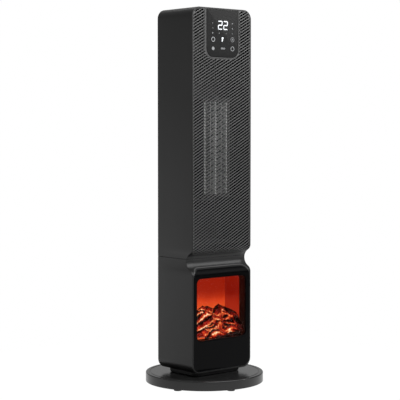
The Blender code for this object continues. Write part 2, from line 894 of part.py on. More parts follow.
def make_housing():
    """Two end plates with the scroll and the tongue between them."""
    duct_half = element_width / 2 + duct_margin
    plate_half = inner_side - housing_side_gap
    hole = circle((0, wheel_axis_y), shaft_radius + shaft_clearance + seat_gap, 16)
    bush_hole = circle((0, wheel_axis_y), bush_radius + seat_gap, 20)
    outline = rounded_rectangle((-plate_half, housing_front), (plate_half, housing_back), 0, 0)
    made = plate(
        "blower_housing", [outline, hole], "Z", housing_low, housing_low + housing_plate, heat_resin
    )
    lid = plate("housing lid", [outline, bush_hole], "Z", housing_high - housing_plate, housing_high)
    wall_low = housing_low + housing_plate - weld_depth
    wall_high = housing_high - housing_plate + weld_depth
    inner = []
    outer = []
    for i in range(scroll_steps + 1):
        share = i / scroll_steps
        angle = scroll_start_angle + (scroll_end_angle - scroll_start_angle) * share
        radius = wheel_radius + scroll_clearance + scroll_growth * share
        inner.append(around(radius, angle))
        outer.append(around(radius + housing_wall, angle))
    inner.append((duct_half, housing_front))
    outer.append((duct_half + housing_wall, housing_front))
    scroll = plate("scroll wall", [inner + outer[::-1]], "Z", wall_low, wall_high, None, 35)
    tip = around(wheel_radius + scroll_clearance, tongue_tip_angle)
    bend = housing_front + tongue_rise
    tongue_loop = [
        (-duct_half, housing_front),
        (-duct_half, bend),
        tip,
        (tip[0] - housing_wall, tip[1] + housing_wall),
        (-duct_half - housing_wall, bend + housing_wall),
        (-duct_half - housing_wall, housing_front),
    ]
    tongue = plate("tongue wall", [tongue_loop], "Z", wall_low, wall_high)
    return boolean(made, "UNION", lid, scroll, tongue)


def blade_loop(angle):
    """One forward-curved blade in plan: a crescent from the ring's inner edge to its outer edge."""
    inner_radius = wheel_radius - wheel_ring + weld_depth
    outer_radius = wheel_radius - weld_depth
    near = []
    far = []
    for share in (0, 1 / 2, 1):
        radius = inner_radius + (outer_radius - inner_radius) * share
        sweep = angle + blade_sweep * share**2
        half = math.degrees(blade_thickness / 2 / radius) * (1 + share * (1 - share))
        near.append((radius, sweep - half))
        far.append((radius, sweep + half))
    loop = []
    for radius, at in near + far[::-1]:
        loop.append(around(radius, at))
    return loop


def make_wheel(axis):
    """The tangential wheel: two discs, a middle ring and the blades."""
    centre = (0, wheel_axis_y)
    middle_low = (wheel_low + wheel_high - wheel_disc) / 2
    disc = circle(centre, wheel_radius, wheel_blades)
    bore = circle(centre, shaft_radius + seat_gap, 12)
    ring_inner = circle(centre, wheel_radius - wheel_ring, wheel_blades)
    made = plate("impeller", [disc, bore], "Z", wheel_low, wheel_low + wheel_disc, matte_black)
    top = plate("wheel top disc", [disc], "Z", wheel_high - wheel_disc, wheel_high)
    middle = plate("wheel middle ring", [disc, ring_inner], "Z", middle_low, middle_low + wheel_disc)
    loops = [blade_loop(360 * i / wheel_blades) for i in range(wheel_blades)]
    blades = plate("wheel blades", loops, "Z", wheel_low + wheel_disc / 2, wheel_high - wheel_disc / 2)
    stub_start = (0, wheel_axis_y, wheel_high - wheel_disc / 2)
    stub = rod("wheel stub", stub_start, "Z", wheel_stub_length, shaft_radius, steps=12)
    boolean(made, "UNION", blades, top, middle, stub)
    ride_on(axis, made)
    return made


def make_bush():
    """The bush of the wheel's stub: a flanged ring in the housing's lid."""
    low = housing_high - housing_plate
    flange_low = housing_high + seat_gap
    bore = shaft_radius + shaft_clearance
    top = low + bush_length
    profile = [
        (bush_radius + bush_flange, top),
        (bush_radius + bush_flange, flange_low),
        (bush_radius, flange_low),
        (bush_radius, low),
        (bore, low),
        (bore, top),
    ]
    made = turned("impeller_bush", profile, rubber_black, 20)
    made.location = (0, wheel_axis_y, 0)
    return made


def make_blower_motor(axis):
    """A shaded-pole motor under the blower: core, coil, bearing strips, and the rotor on its shaft."""
    y = wheel_axis_y
    half = motor_width / 2
    window_near = y + rotor_radius + rotor_gap + motor_leg
    window_far = y + motor_back_reach - motor_leg
    outer = rounded_rectangle((-half, y - motor_front_reach), (half, y + motor_back_reach), 0, 0)
    slot = rounded_rectangle((-half + motor_leg, window_near), (half - motor_leg, window_far), 0, 0)
    bore = circle((0, y), rotor_radius + rotor_gap, 24)
    core = plate("motor_core", [outer, slot, bore], "Z", motor_low, motor_high, core_steel)
    coil_half = half - motor_leg - seat_gap
    coil_low = motor_low - coil_build
    coil_high = motor_high + min(coil_build, motor_drop - seat_gap)
    coil = box(
        "motor_coil",
        (-coil_half, window_near + seat_gap, coil_low),
        (coil_half, y + motor_back_reach + coil_build, coil_high),
        copper_wire,
    )
    leg = box(
        "coil passage",
        (-half, window_far - seat_gap, motor_low - seat_gap),
        (half, y + motor_back_reach + seat_gap, motor_high + seat_gap),
    )
    boolean(coil, "DIFFERENCE", leg)
    pieces = [core, coil]
    strip_half = motor_strip_width / 2
    hole = circle((0, y), shaft_radius + shaft_clearance, 16)
    strip = rounded_rectangle((-half, y - strip_half), (half, y + strip_half), 0, 0)
    upper_low = motor_high + seat_gap
    upper_high = upper_low + motor_strip_thickness
    lower_high = motor_low - seat_gap
    lower_low = lower_high - motor_strip_thickness
    upper = plate("motor_strip_upper", [strip, hole], "Z", upper_low, upper_high, zinc_steel)
    for i, x in enumerate((-half + motor_leg / 2, half - motor_leg / 2)):
        start = (x, y, upper_high - weld_depth)
        length = housing_low - seat_gap - start[2]
        boolean(upper, "UNION", rod(f"motor post {i + 1}", start, "Z", length, motor_post_radius, steps=12))
    lower = plate("motor_strip_lower", [strip, hole], "Z", lower_low, lower_high, zinc_steel)
    pieces += [upper, lower]
    shaft_low = lower_low - seat_gap
    shaft_high = wheel_low + wheel_disc
    rotor = rod("motor_rotor", (0, y, motor_low), "Z", motor_stack, rotor_radius, core_steel, 24)
    shaft = rod("rotor shaft", (0, y, shaft_low), "Z", shaft_high - shaft_low, shaft_radius, steps=12)
    boolean(rotor, "UNION", shaft)
    ride_on(axis, rotor)
    return pieces


def make_shelf():
    z = seam + shelf_above_seam
    half = inner_side - seat_gap
    outline = rounded_rectangle((-half, front + shelf_front_gap), (half, cover_front - seat_gap), 0, 0)
    return plate("mid_shelf", [outline], "Z", z, z + shelf_thickness, heat_resin)


def make_power_board():
    """The mains board on the lower rear cover's posts, with its relays and capacitor."""
    far = cover_front - power_post_length - seat_gap
    near = far - board_thickness
    low = tower_bottom + power_board_rise
    half = power_board_width / 2
    made = box("power_board", (-half, near, low), (half, far, low + power_board_height), board_green)
    reach = near + weld_depth
    for i, share in enumerate((-relay_spread_share, 0, relay_spread_share)):
        x = power_board_width * share
        z = low + power_board_height * relay_rise_share
        relay = box(
            f"relay {i + 1}",
            (x - relay_size / 2, near - component_reach, z - relay_size / 2),
            (x + relay_size / 2, reach, z + relay_size / 2),
        )
        boolean(made, "UNION", relay)
    rise = low + power_board_height * capacitor_rise_share
    start = (-capacitor_length / 2, near - capacitor_radius + weld_depth, rise)
    boolean(made, "UNION", rod("capacitor", start, "X", capacitor_length, capacitor_radius, steps=16))
    return made


def power_posts():
    """The rear cover's posts, inside the board's corners."""
    low = tower_bottom + power_board_rise
    half = power_board_width / 2 - 2 * power_post_radius
    edge = 2 * power_post_radius
    start = cover_front - power_post_length
    places = [(x, z) for x in (-half, half) for z in (low + edge, low + power_board_height - edge)]
    length = power_post_length + weld_depth
    return [
        rod(f"power post {i + 1}", (x, start, z), "Y", length, power_post_radius, steps=12)
        for i, (x, z) in enumerate(places)
    ]


def make_tilt_switch():
    half_width = tilt_switch_width / 2
    half_depth = tilt_switch_depth / 2
    x = inner_side - tilt_switch_inset
    low = floor_top + seat_gap
    return box(
        "tilt_switch",
        (x - half_width, tilt_switch_y - half_depth, low),
        (x + half_width, tilt_switch_y + half_depth, low + tilt_switch_height),
        matte_black,
    )


def let_out(width, low, high, radius, margin):
    """A centred rounded rectangle that is larger than the given one by a margin all round."""
    return centred_rectangle(width + 2 * margin, low - margin, high + margin, radius)


def make_rear_covers():
    half = inner_side - seat_gap
    radius = tower_corner_radius - shell_wall - seat_gap
    intake_low = seam + intake_above_seam
    intake_high = intake_low + intake_height
    opening = centred_rectangle(intake_width, intake_low, intake_high, intake_radius)
    ledge_inner = let_out(intake_width, intake_low, intake_high, intake_radius, -intake_ledge)
    ledge_outer = let_out(intake_width, intake_low, intake_high, intake_radius, intake_ledge)
    recess_high = tower_top - recess_below_top
    recess_low = recess_high - recess_height
    mouth = centred_rectangle(recess_width, recess_low, recess_high, recess_radius)
    pocket_outer = let_out(recess_width, recess_low, recess_high, recess_radius + recess_wall, recess_wall)
    outline = rounded_rectangle((-half, seam + seat_gap / 2), (half, inner_top - seat_gap), 0, radius)
    upper = plate("rear_cover_upper", [outline], "Y", cover_front, back, satin_black, 30)
    joined = cover_front + weld_depth
    ledge_front = cover_front - intake_ledge_depth
    ledge = plate("intake ledge", [ledge_outer], "Y", ledge_front, joined)
    pocket = plate("recess pocket", [pocket_outer], "Y", back - recess_depth - recess_wall, joined)
    opening_cut = plate("intake opening", [opening], "Y", cover_front, back + overrun)
    ledge_cut = plate("ledge opening", [ledge_inner], "Y", ledge_front - overrun, back + overrun)
    hollow = plate("recess hollow", [mouth], "Y", back - recess_depth, back + overrun)
    boolean(upper, "UNION", ledge, pocket)
    boolean(upper, "DIFFERENCE", opening_cut, ledge_cut, hollow)
    outline = rounded_rectangle((-half, inner_bottom + seat_gap), (half, seam - seat_gap / 2), radius, 0)
    half_width = switch_width / 2 + seat_gap
    half_height = switch_height / 2 + seat_gap
    switch_low = (switch_x - half_width, switch_level - half_height)
    switch_high = (switch_x + half_width, switch_level + half_height)
    switch_hole = rounded_rectangle(switch_low, switch_high, 0, 0)
    bush_hole = circle((bush_x, bush_level), cord_bush_radius + seat_gap, 24)
    lower = plate("rear_cover_lower", [outline, switch_hole, bush_hole], "Y", cover_front, back, satin_black)
    boolean(lower, "UNION", *power_posts())
    return upper, lower


def make_intake(parent):
    """The pull-off rear grille and the dust pad behind it."""
    low = seam + intake_above_seam + seat_gap
    high = low + intake_height - 2 * seat_gap
    width = intake_width - 2 * seat_gap
    loops = [centred_rectangle(width, low, high, intake_radius - seat_gap)]
    slot_width = (width - 2 * intake_border - (intake_columns - 1) * intake_bar) / intake_columns
    slot_height = (high - low - 2 * intake_border - (intake_rows - 1) * intake_bar) / intake_rows
    for column in range(intake_columns):
        x = -width / 2 + intake_border + column * (slot_width + intake_bar)
        for row in range(intake_rows):
            z = low + intake_border + row * (slot_height + intake_bar)
            ends = slot_height / 2
            loops.append(rounded_rectangle((x, z), (x + slot_width, z + slot_height), ends, ends, 1))
    grille = plate("intake_grille", loops, "Y", cover_front + seat_gap, back, satin_black)
    margin = intake_ledge + seat_gap
    pad_loop = centred_rectangle(intake_width - 2 * margin, low + margin, high - margin, intake_radius)
    pad = plate("dust_pad", [pad_loop], "Y", cover_front - pad_thickness, cover_front, foam_grey)
    ride_on(parent, grille, pad)
    return grille, pad


def make_switch(axis):
    """The mains switch: a flanged housing in the lower rear cover, and its rocker at one stop."""
    half_width = switch_width / 2
    half_height = switch_height / 2

    def corner(sign, growth, y):
        return (switch_x + sign * (half_width + growth), y, switch_level + sign * (half_height + growth))

    far = back + switch_bezel_height
    near = back - switch_depth
    plug_end = corner(1, 0, back + switch_bezel_height / 2)
    made = box("switch_housing", corner(-1, 0, near), plug_end, gloss_black)
    bezel = box("switch bezel", corner(-1, switch_bezel, back + seat_gap), corner(1, switch_bezel, far))
    well = box(
        "switch well", corner(-1, -switch_wall, near + switch_wall), corner(1, -switch_wall, back + overrun)
    )
    boolean(made, "UNION", bezel)
    boolean(made, "DIFFERENCE", well)
    reach = half_height - switch_wall - 2 * rocker_clearance
    across = half_width - switch_wall - rocker_clearance
    loop = [
        (rocker_crown, reach),
        (rocker_waist, 0),
        (rocker_crown, -reach),
        (0, -reach),
        (-rocker_root, -reach / 3),
        (-rocker_root, reach / 3),
        (0, reach),
    ]
    rocker = plate("power_rocker", [loop], "X", -across, across, gloss_black)
    rocker.rotation_euler = (math.radians(-rocker_tilt), 0, 0)
    rocker.parent = axis
    return made, rocker


def make_cord_bush():
    """The bush that the mains lead leaves through: a flanged ring in the lower rear cover."""
    outer_face = back + seat_gap + cord_bush_flange_height
    profile = [
        (cord_bush_radius + cord_bush_flange, cord_bush_flange_height / 2),
        (cord_bush_radius + cord_bush_flange, 0),
        (cord_bush_radius, 0),
        (cord_bush_radius, -cord_bush_length),
        (cord_bore_radius, -cord_bush_length),
        (cord_bore_radius, cord_bush_flange_height),
        (cord_bush_radius, cord_bush_flange_height),
    ]
    made = turned("cord_bush", profile, rubber_black, 24)
    made.location = (bush_x, outer_face - cord_bush_flange_height, bush_level)
    made.rotation_euler = (-math.pi / 2, 0, 0)
    return made


def tooth_half_angle(radius, teeth):
    """Half the angle that an involute tooth takes at a radius."""
    pitch_radius = gear_module * teeth / 2
    rise = math.radians(pressure_angle)
    base = pitch_radius * math.cos(rise)
    at = math.acos(min(base / radius, 1))
    half = math.pi / 2 / teeth - tooth_thinning / 2 / pitch_radius
    return half + (math.tan(rise) - rise) - (math.tan(at) - at)


def teeth_loop(teeth, count, first_angle, centre):
    """Involute teeth in turn, root to tip and down again, about a centre; angles in degrees."""
    pitch_radius = gear_module * teeth / 2
    root = pitch_radius - gear_module * dedendum_share
    tip = pitch_radius + gear_module * addendum_share
    flank = [root, (root + pitch_radius) / 2, pitch_radius, tip]
    points = []
    for i in range(count):
        middle = math.radians(first_angle + 360 * i / teeth)
        rise = [(radius, middle - tooth_half_angle(radius, teeth)) for radius in flank]
        fall = [(radius, middle + tooth_half_angle(radius, teeth)) for radius in reversed(flank)]
        points += rise + fall
    return [(centre[0] + r * math.cos(a), centre[1] + r * math.sin(a)) for r, a in points]


def make_base():
    outer = base_radius
    inner = base_radius - base_wall
    groove_out = outer - rim_groove_inset
    groove_in = groove_out - rim_groove_width
    hole = spindle_bore_radius + base_wall
    profile = [
        (groove_in, base_top),
        ((groove_in + groove_out) / 2, base_top - rim_groove_depth),
        (groove_out, base_top),
        (outer - rim_bevel, base_top),
        (outer - rim_bevel / 3, base_top - rim_bevel / 3),
        (outer, base_top - rim_bevel),
        (outer, base_bottom + rim_bevel),
        (outer - rim_bevel, base_bottom),
        (inner, base_bottom),
        (inner, base_top - base_wall),
        (hole, base_top - base_wall),
        (hole, base_top),
    ]
    cover = turned("base_cover", profile, satin_black)
    plate_outer = inner - seat_gap
    plate_low = base_bottom + seat_gap
    plate_high = plate_low + base_plate_thickness
    weight = rod("base_plate", (0, 0, plate_low), "Z", base_plate_thickness, plate_outer, zinc_steel, round_steps)
    pieces = [cover, weight]
    for i in range(foot_count):
        a = math.radians(foot_first_angle + 360 * i / foot_count)
        reach = base_radius - foot_inset
        foot = rod(
            f"foot_{i + 1}",
            (reach * math.cos(a), reach * math.sin(a), 0),
            "Z",
            foot_height,
            foot_radius * foot_taper_share,
            rubber_black,
            14,
            foot_radius,
        )
        pieces.append(foot)
    pieces += make_spindle(plate_high)
    return pieces


def make_spindle(plate_high):
    collar_high = tower_bottom - washer_thickness - 2 * seat_gap
    foot_radius_inner = spindle_bore_radius + base_wall - seat_gap
    profile = [
        (spindle_radius, spindle_top),
        (spindle_radius, collar_high),
        (collar_radius, collar_high),
        (collar_radius, base_top + seat_gap),
        (foot_radius_inner, base_top + seat_gap),
        (foot_radius_inner, plate_high + seat_gap),
        (spindle_bore_radius, plate_high + seat_gap),
        (spindle_bore_radius, spindle_top),
    ]
    spindle = turned("swivel_spindle", profile, matte_black, 32)
    washer_low = collar_high + seat_gap
    washer_inner = spindle_radius + spindle_clearance
    profile = [
        (collar_radius, washer_low + washer_thickness),
        (collar_radius, washer_low),
        (washer_inner, washer_low),
        (washer_inner, washer_low + washer_thickness),
    ]
    washer = turned("glide_washer", profile, nylon_white, 32)
    hub = spindle_radius + seat_gap + sector_hub_wall
    bore = circle((0, 0), spindle_radius + seat_gap, 32)
    pitch = 360 / sector_full_teeth
    first = 90 - pitch * (sector_teeth - 1) / 2
    teeth = teeth_loop(sector_full_teeth, sector_teeth, first, (0, 0))
    last = first + pitch * (sector_teeth - 1)
    rest = arc((0, 0), hub, last + pitch, first + 360 - pitch, 16)
    sector = plate("swivel_sector", [teeth + rest, bore], "Z", sector_low, sector_high, nylon_white)
    ring = spindle_radius + seat_gap
    profile = [
        (ring + retainer_wall, retainer_high),
        (ring + retainer_wall, retainer_low),
        (ring, retainer_low),
        (ring, retainer_high),
    ]
    retainer = turned("spindle_retainer", profile, zinc_steel, 24)
    return [spindle, washer, sector, retainer]


def make_swivel_drive(axis):
    """The swivel motor over the sector, on its bracket, and the pinion on its own axis."""
    y = gear_distance
    posts_x = swivel_bracket_length / 2 - swivel_post / 2
    hole = circle((0, y), pinion_shaft_radius + spindle_clearance / 2, 16)
    half = swivel_bracket_width / 2
    reach = swivel_bracket_length / 2
    outline = rounded_rectangle((-reach, y - half), (reach, y + half), swivel_post / 2, swivel_post / 2, 3)
    low, high = swivel_plate_low, swivel_plate_high
    bracket = plate("swivel_motor_bracket", [outline, hole], "Z", low, high, zinc_steel)
    for i, x in enumerate((-posts_x, posts_x)):
        post = box(
            f"bracket post {i + 1}",
            (x - swivel_post / 2, y - swivel_post / 2, floor_top + seat_gap),
            (x + swivel_post / 2, y + swivel_post / 2, swivel_plate_low + weld_depth),
        )
        boolean(bracket, "UNION", post)
    start = (0, y, swivel_plate_high + seat_gap)
    motor = rod("swivel_motor", start, "Z", swivel_motor_height, swivel_motor_radius, zinc_steel, 28)
    step = 360 / pinion_teeth
    pinion_loop = teeth_loop(pinion_teeth, pinion_teeth, -90 + step / 2, (0, y))
    pinion = plate("swivel_pinion", [pinion_loop], "Z", sector_low, sector_high, nylon_white)
    shaft_low = sector_high - weld_depth
    length = swivel_plate_high - shaft_low
    shaft = rod("pinion shaft", (0, y, shaft_low), "Z", length, pinion_shaft_radius, steps=12)
    boolean(pinion, "UNION", shaft)
    ride_on(axis, pinion)
    return bracket, motor


def main():
    global parts, cutters
    clear_scene()
    parts = new_collection("tower heater")
    cutters = new_collection("tower heater cutters")
    base_axis = axis_empty("base", (0, 0, 0))
    swivel_axis = axis_empty("swivel axis", (0, 0, tower_bottom))
    wheel_axis = axis_empty("wheel axis", (0, wheel_axis_y, wheel_low))
    pinion_axis = axis_empty("pinion axis", (0, gear_distance, sector_low))
    rocker_axis = axis_empty("rocker axis", (switch_x, back - rocker_pivot_depth, switch_level))
    pull_axis = axis_empty("intake pull", (0, back, seam + intake_above_seam))
    ride_on(base_axis, *make_base())
    sleeves = make_sleeves()
    shells = [*sleeves, make_grille(), make_fascia(), *make_control_board(), make_front_panel()]
    flame = [*make_window(), *make_flame_box()]
    heater = [*make_heater(), make_housing(), make_bush()]
    motor = make_blower_motor(wheel_axis)
    rear = [*make_rear_covers(), make_cord_bush(), make_shelf(), make_power_board(), make_tilt_switch()]
    housing, _ = make_switch(rocker_axis)
    drive = make_swivel_drive(pinion_axis)
    make_wheel(wheel_axis)
    make_intake(pull_axis)
    ride_on(swivel_axis, *shells, *flame, *heater, *motor, *rear, housing, *drive)
    ride_on(swivel_axis, wheel_axis, pinion_axis, rocker_axis, pull_axis)


main()
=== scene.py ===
"""Tower heater with a lit ember bed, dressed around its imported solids. Metres, Z up, front towards -Y."""
import math

import bpy
import numpy as np
from mathutils import Matrix, Vector


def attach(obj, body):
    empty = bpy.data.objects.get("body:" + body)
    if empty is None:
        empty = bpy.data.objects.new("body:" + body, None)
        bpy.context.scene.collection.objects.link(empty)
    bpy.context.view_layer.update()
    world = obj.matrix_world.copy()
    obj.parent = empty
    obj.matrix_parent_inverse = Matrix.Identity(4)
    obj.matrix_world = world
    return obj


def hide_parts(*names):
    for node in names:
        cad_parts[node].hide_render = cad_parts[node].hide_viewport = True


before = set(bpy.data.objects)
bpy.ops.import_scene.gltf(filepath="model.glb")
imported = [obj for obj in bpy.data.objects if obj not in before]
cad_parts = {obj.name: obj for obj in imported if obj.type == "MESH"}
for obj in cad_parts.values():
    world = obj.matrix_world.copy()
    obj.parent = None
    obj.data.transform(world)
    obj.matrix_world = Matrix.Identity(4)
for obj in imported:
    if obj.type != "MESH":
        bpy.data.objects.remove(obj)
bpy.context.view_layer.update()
# Each finish by the name of its record slot, once it is made
looks = {}

# Tower form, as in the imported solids
SIDE = 0.0815
FRONT = -0.0565
BACK = 0.0565
TOWER_BOTTOM = 0.0323
TOWER_TOP = 0.7886
CORNER = 0.020
WALL = 0.0025
SEAM = 0.270
GAP = 0.0003
NECK_THICK = 0.0022
# How far the sheets are drawn in right at the seam and at the neck's edges
SEAM_EDGE = 0.00035

# Neck groove: two lip arcs and a hollow arc, turned back where it meets the side faces
GROOVE_MIDDLE = 0.265
GROOVE_EDGE = 0.029
GROOVE_DEPTH = 0.0158
GROOVE_TURN = 2 * math.atan(GROOVE_DEPTH / GROOVE_EDGE)
BOTH_RADII = GROOVE_EDGE / math.sin(GROOVE_TURN)
LIP = 0.41 * BOTH_RADII
HOLLOW = BOTH_RADII - LIP
MITRE_SHARE = 1.06
SIDE_SHARE = 1.22
RETURN_SLOPE = (SIDE_SHARE - 1) / MITRE_SHARE

# The outer and the middle electrode are the pale ones, as their brighter lines behind the mesh show
PALE_BARS = ("ptc_bar_1", "ptc_bar_3", "ptc_bar_5")


# Camera, floor and light

# The camera's place, the directions of its frame's right and upper sides, and its lens
CAMERA_PLACE = (-1.81712, -2.11636, 0.53739)
CAMERA_RIGHT = (0.760905, -0.648864, 0.0)
CAMERA_UP = (0.034581, 0.040552, 0.998579)
LENS_MM = 118.573
FLOOR_HALF = 0.6
WHITE = (1, 1, 1, 1)
# Each soft box: its name, place, target, width and height in metres, and watts
SOFT_BOXES = (
    ("right soft box", (1.55, -1.50, 1.25), (0, 0, 0.27), (0.8, 0.8), 11.5),
    ("left soft box", (-0.95, 0.95, 0.16), (0, 0, 0.24), (0.7, 0.7), 0.4),
    ("front soft box", (0.0, -1.9, 2.0), (0, 0, 0.5), (2.8, 1.9), 63),
    ("top soft box", (0.4, 0.6, 2.6), (0, 0, 0.4), (1.8, 1.8), 12),
)


def make_camera():
    """A camera turned so that its frame axes lie along the two unit vectors."""
    camera = bpy.data.cameras.new("camera")
    camera.sensor_width = 36
    camera.lens = LENS_MM
    holder = bpy.data.objects.new("camera", camera)
    backwards = Vector(CAMERA_RIGHT).cross(Vector(CAMERA_UP))
    turn = Matrix((CAMERA_RIGHT, CAMERA_UP, backwards)).transposed()
    holder.matrix_world = Matrix.Translation(CAMERA_PLACE) @ turn.to_4x4()
    bpy.context.scene.collection.objects.link(holder)
    bpy.context.scene.camera = holder


def add_node(tree, kind, inputs=None, **settings):
    """Adds a shader node; an input that is a socket or a node is linked, and any other is set."""
    node = tree.nodes.new("ShaderNode" + kind)
    for key, value in settings.items():
        setattr(node, key, value)
    for key, value in (inputs or {}).items():
        if isinstance(value, bpy.types.Node):
            value = value.outputs[0]
        if isinstance(value, bpy.types.NodeSocket):
            tree.links.new(value, node.inputs[key])
        else:
            node.inputs[key].default_value = value
    return node


def linear(code):
    """An sRGB hex colour as linear red, green, blue and alpha."""
    share = np.array([int(code[i:i + 2], 16) for i in (1, 3, 5)]) / 255
    low = share / 12.92
    high = ((share + 0.055) / 1.055) ** 2.4
    return (*(float(v) for v in np.where(share <= 0.04045, low, high)), 1.0)


def empty_tree(owner):
    """The node tree of a world or a material, without the nodes that it starts with."""
    owner.use_nodes = True
    owner.node_tree.nodes.clear()
    return owner.node_tree


def light_rays(tree):
    """The light path of a tree, and 1 for the rays that see a surface outright or through clear acrylic."""
    ray = add_node(tree, "LightPath")
    camera, through = ray.outputs["Is Camera Ray"], ray.outputs["Is Transmission Ray"]
    return ray, add_node(tree, "Math", {0: camera, 1: through}, operation="MAXIMUM")


def make_world():
    """White for the camera, soft light for the object, and a pale wall and floor for its mirror images."""
    world = bpy.data.worlds.new("studio")
    bpy.context.scene.world = world
    tree = empty_tree(world)
    ray, seen = light_rays(tree)
    toward = add_node(tree, "TexCoord").outputs["Generated"]
    # The room is brightest high up on the left behind the heater
    lean = add_node(tree, "VectorMath", {0: toward, 1: (-0.55, 0.62, 0.56)}, operation="DOT_PRODUCT")
    level = add_node(tree, "MapRange", {"Value": lean.outputs["Value"], "From Min": -0.75, "From Max": 0.9,
                                        "To Min": 0.06, "To Max": 0.31}, interpolation_type="SMOOTHSTEP")
    # The pale wall behind the heater, low over the horizon, is what the base mirrors at a grazing angle
    behind = add_node(tree, "VectorMath", {0: toward, 1: (0.64, 0.75, 0.12)}, operation="DOT_PRODUCT")
    wall = add_node(tree, "MapRange", {"Value": behind.outputs["Value"], "From Min": 0.75, "From Max": 0.93,
                                       "To Max": 0.26}, interpolation_type="SMOOTHSTEP")
    # The floor that runs on to the horizon lights the side faces, more so lower down
    height = add_node(tree, "SeparateXYZ", {"Vector": toward}).outputs["Z"]
    far_floor = add_node(tree, "MapRange", {"Value": height, "From Min": -0.02, "From Max": -0.2,
                                            "To Max": 0.75}, interpolation_type="SMOOTHSTEP")
    pale = add_node(tree, "Math", {0: wall, 1: far_floor})
    total = add_node(tree, "Math", {0: ray.outputs["Is Glossy Ray"], 1: pale, 2: level},
                     operation="MULTIPLY_ADD")
    soft = add_node(tree, "Background", {"Color": linear("#f8f8f8"), "Strength": total})
    white = add_node(tree, "Background", {"Color": WHITE, "Strength": 1.0})
    mix = add_node(tree, "MixShader", {0: seen, 1: soft, 2: white})
    add_node(tree, "OutputWorld", {"Surface": mix})


def make_lamps():
    """Four soft boxes: the large front one is the main light, the others lift the sides and the top."""
    for name, place, target, size, power in SOFT_BOXES:
        light = bpy.data.lights.new(name, "AREA")
        light.shape = "RECTANGLE"
        light.size, light.size_y = size
        light.energy = power
        holder = bpy.data.objects.new(name, light)
        holder.location = place
        holder.rotation_euler = (Vector(target) - Vector(place)).to_track_quat("-Z", "Y").to_euler()
        bpy.context.scene.collection.objects.link(holder)


def make_floor():
    """A floor that is white to the camera and to mirrors, and keeps a tenth of its grey for the shadow."""
    material = bpy.data.materials.new("pale studio floor")
    tree = empty_tree(material)
    ray, seen = light_rays(tree)
    mirrored = add_node(tree, "Math", {0: ray.outputs["Is Glossy Ray"], 1: 0.8, 2: seen},
                        operation="MULTIPLY_ADD", use_clamp=True)
    share = add_node(tree, "Math", {0: mirrored, 1: 0.9}, operation="MULTIPLY")
    grey = add_node(tree, "BsdfDiffuse", {"Color": linear("#5c5c5c")})
    glow = add_node(tree, "Emission", {"Color": WHITE, "Strength": 1.12})
    mix = add_node(tree, "MixShader", {0: share, 1: grey, 2: glow})
    add_node(tree, "OutputMaterial", {"Surface": mix})
    mesh = bpy.data.meshes.new("floor")
    corners = [(x * FLOOR_HALF, y * FLOOR_HALF, 0) for x, y in ((-1, -1), (1, -1), (1, 1), (-1, 1))]
    mesh.from_pydata(corners, [], [(0, 1, 2, 3)])
    mesh.materials.append(material)
    floor = bpy.data.objects.new("floor", mesh)
    bpy.context.scene.collection.objects.link(floor)


# Materials

# Where the panel's polish fades out, in metres above the floor
POLISH_END = (0.2360, 0.2390)
# Only the inner faces of the flame box are lit: these limits lie within its wall, 1.8 mm thick
BOX_SIDE, BOX_BACK, BOX_BOTTOM, BOX_TOP = 0.0689, 0.0115, 0.0991, 0.2299
# From the back to the sides of the flame box, and from its bottom to its top, the glow changes between these
BOX_TURN = (0.0665, 0.0679)
GLOW_RISE = (0.160, 0.236)

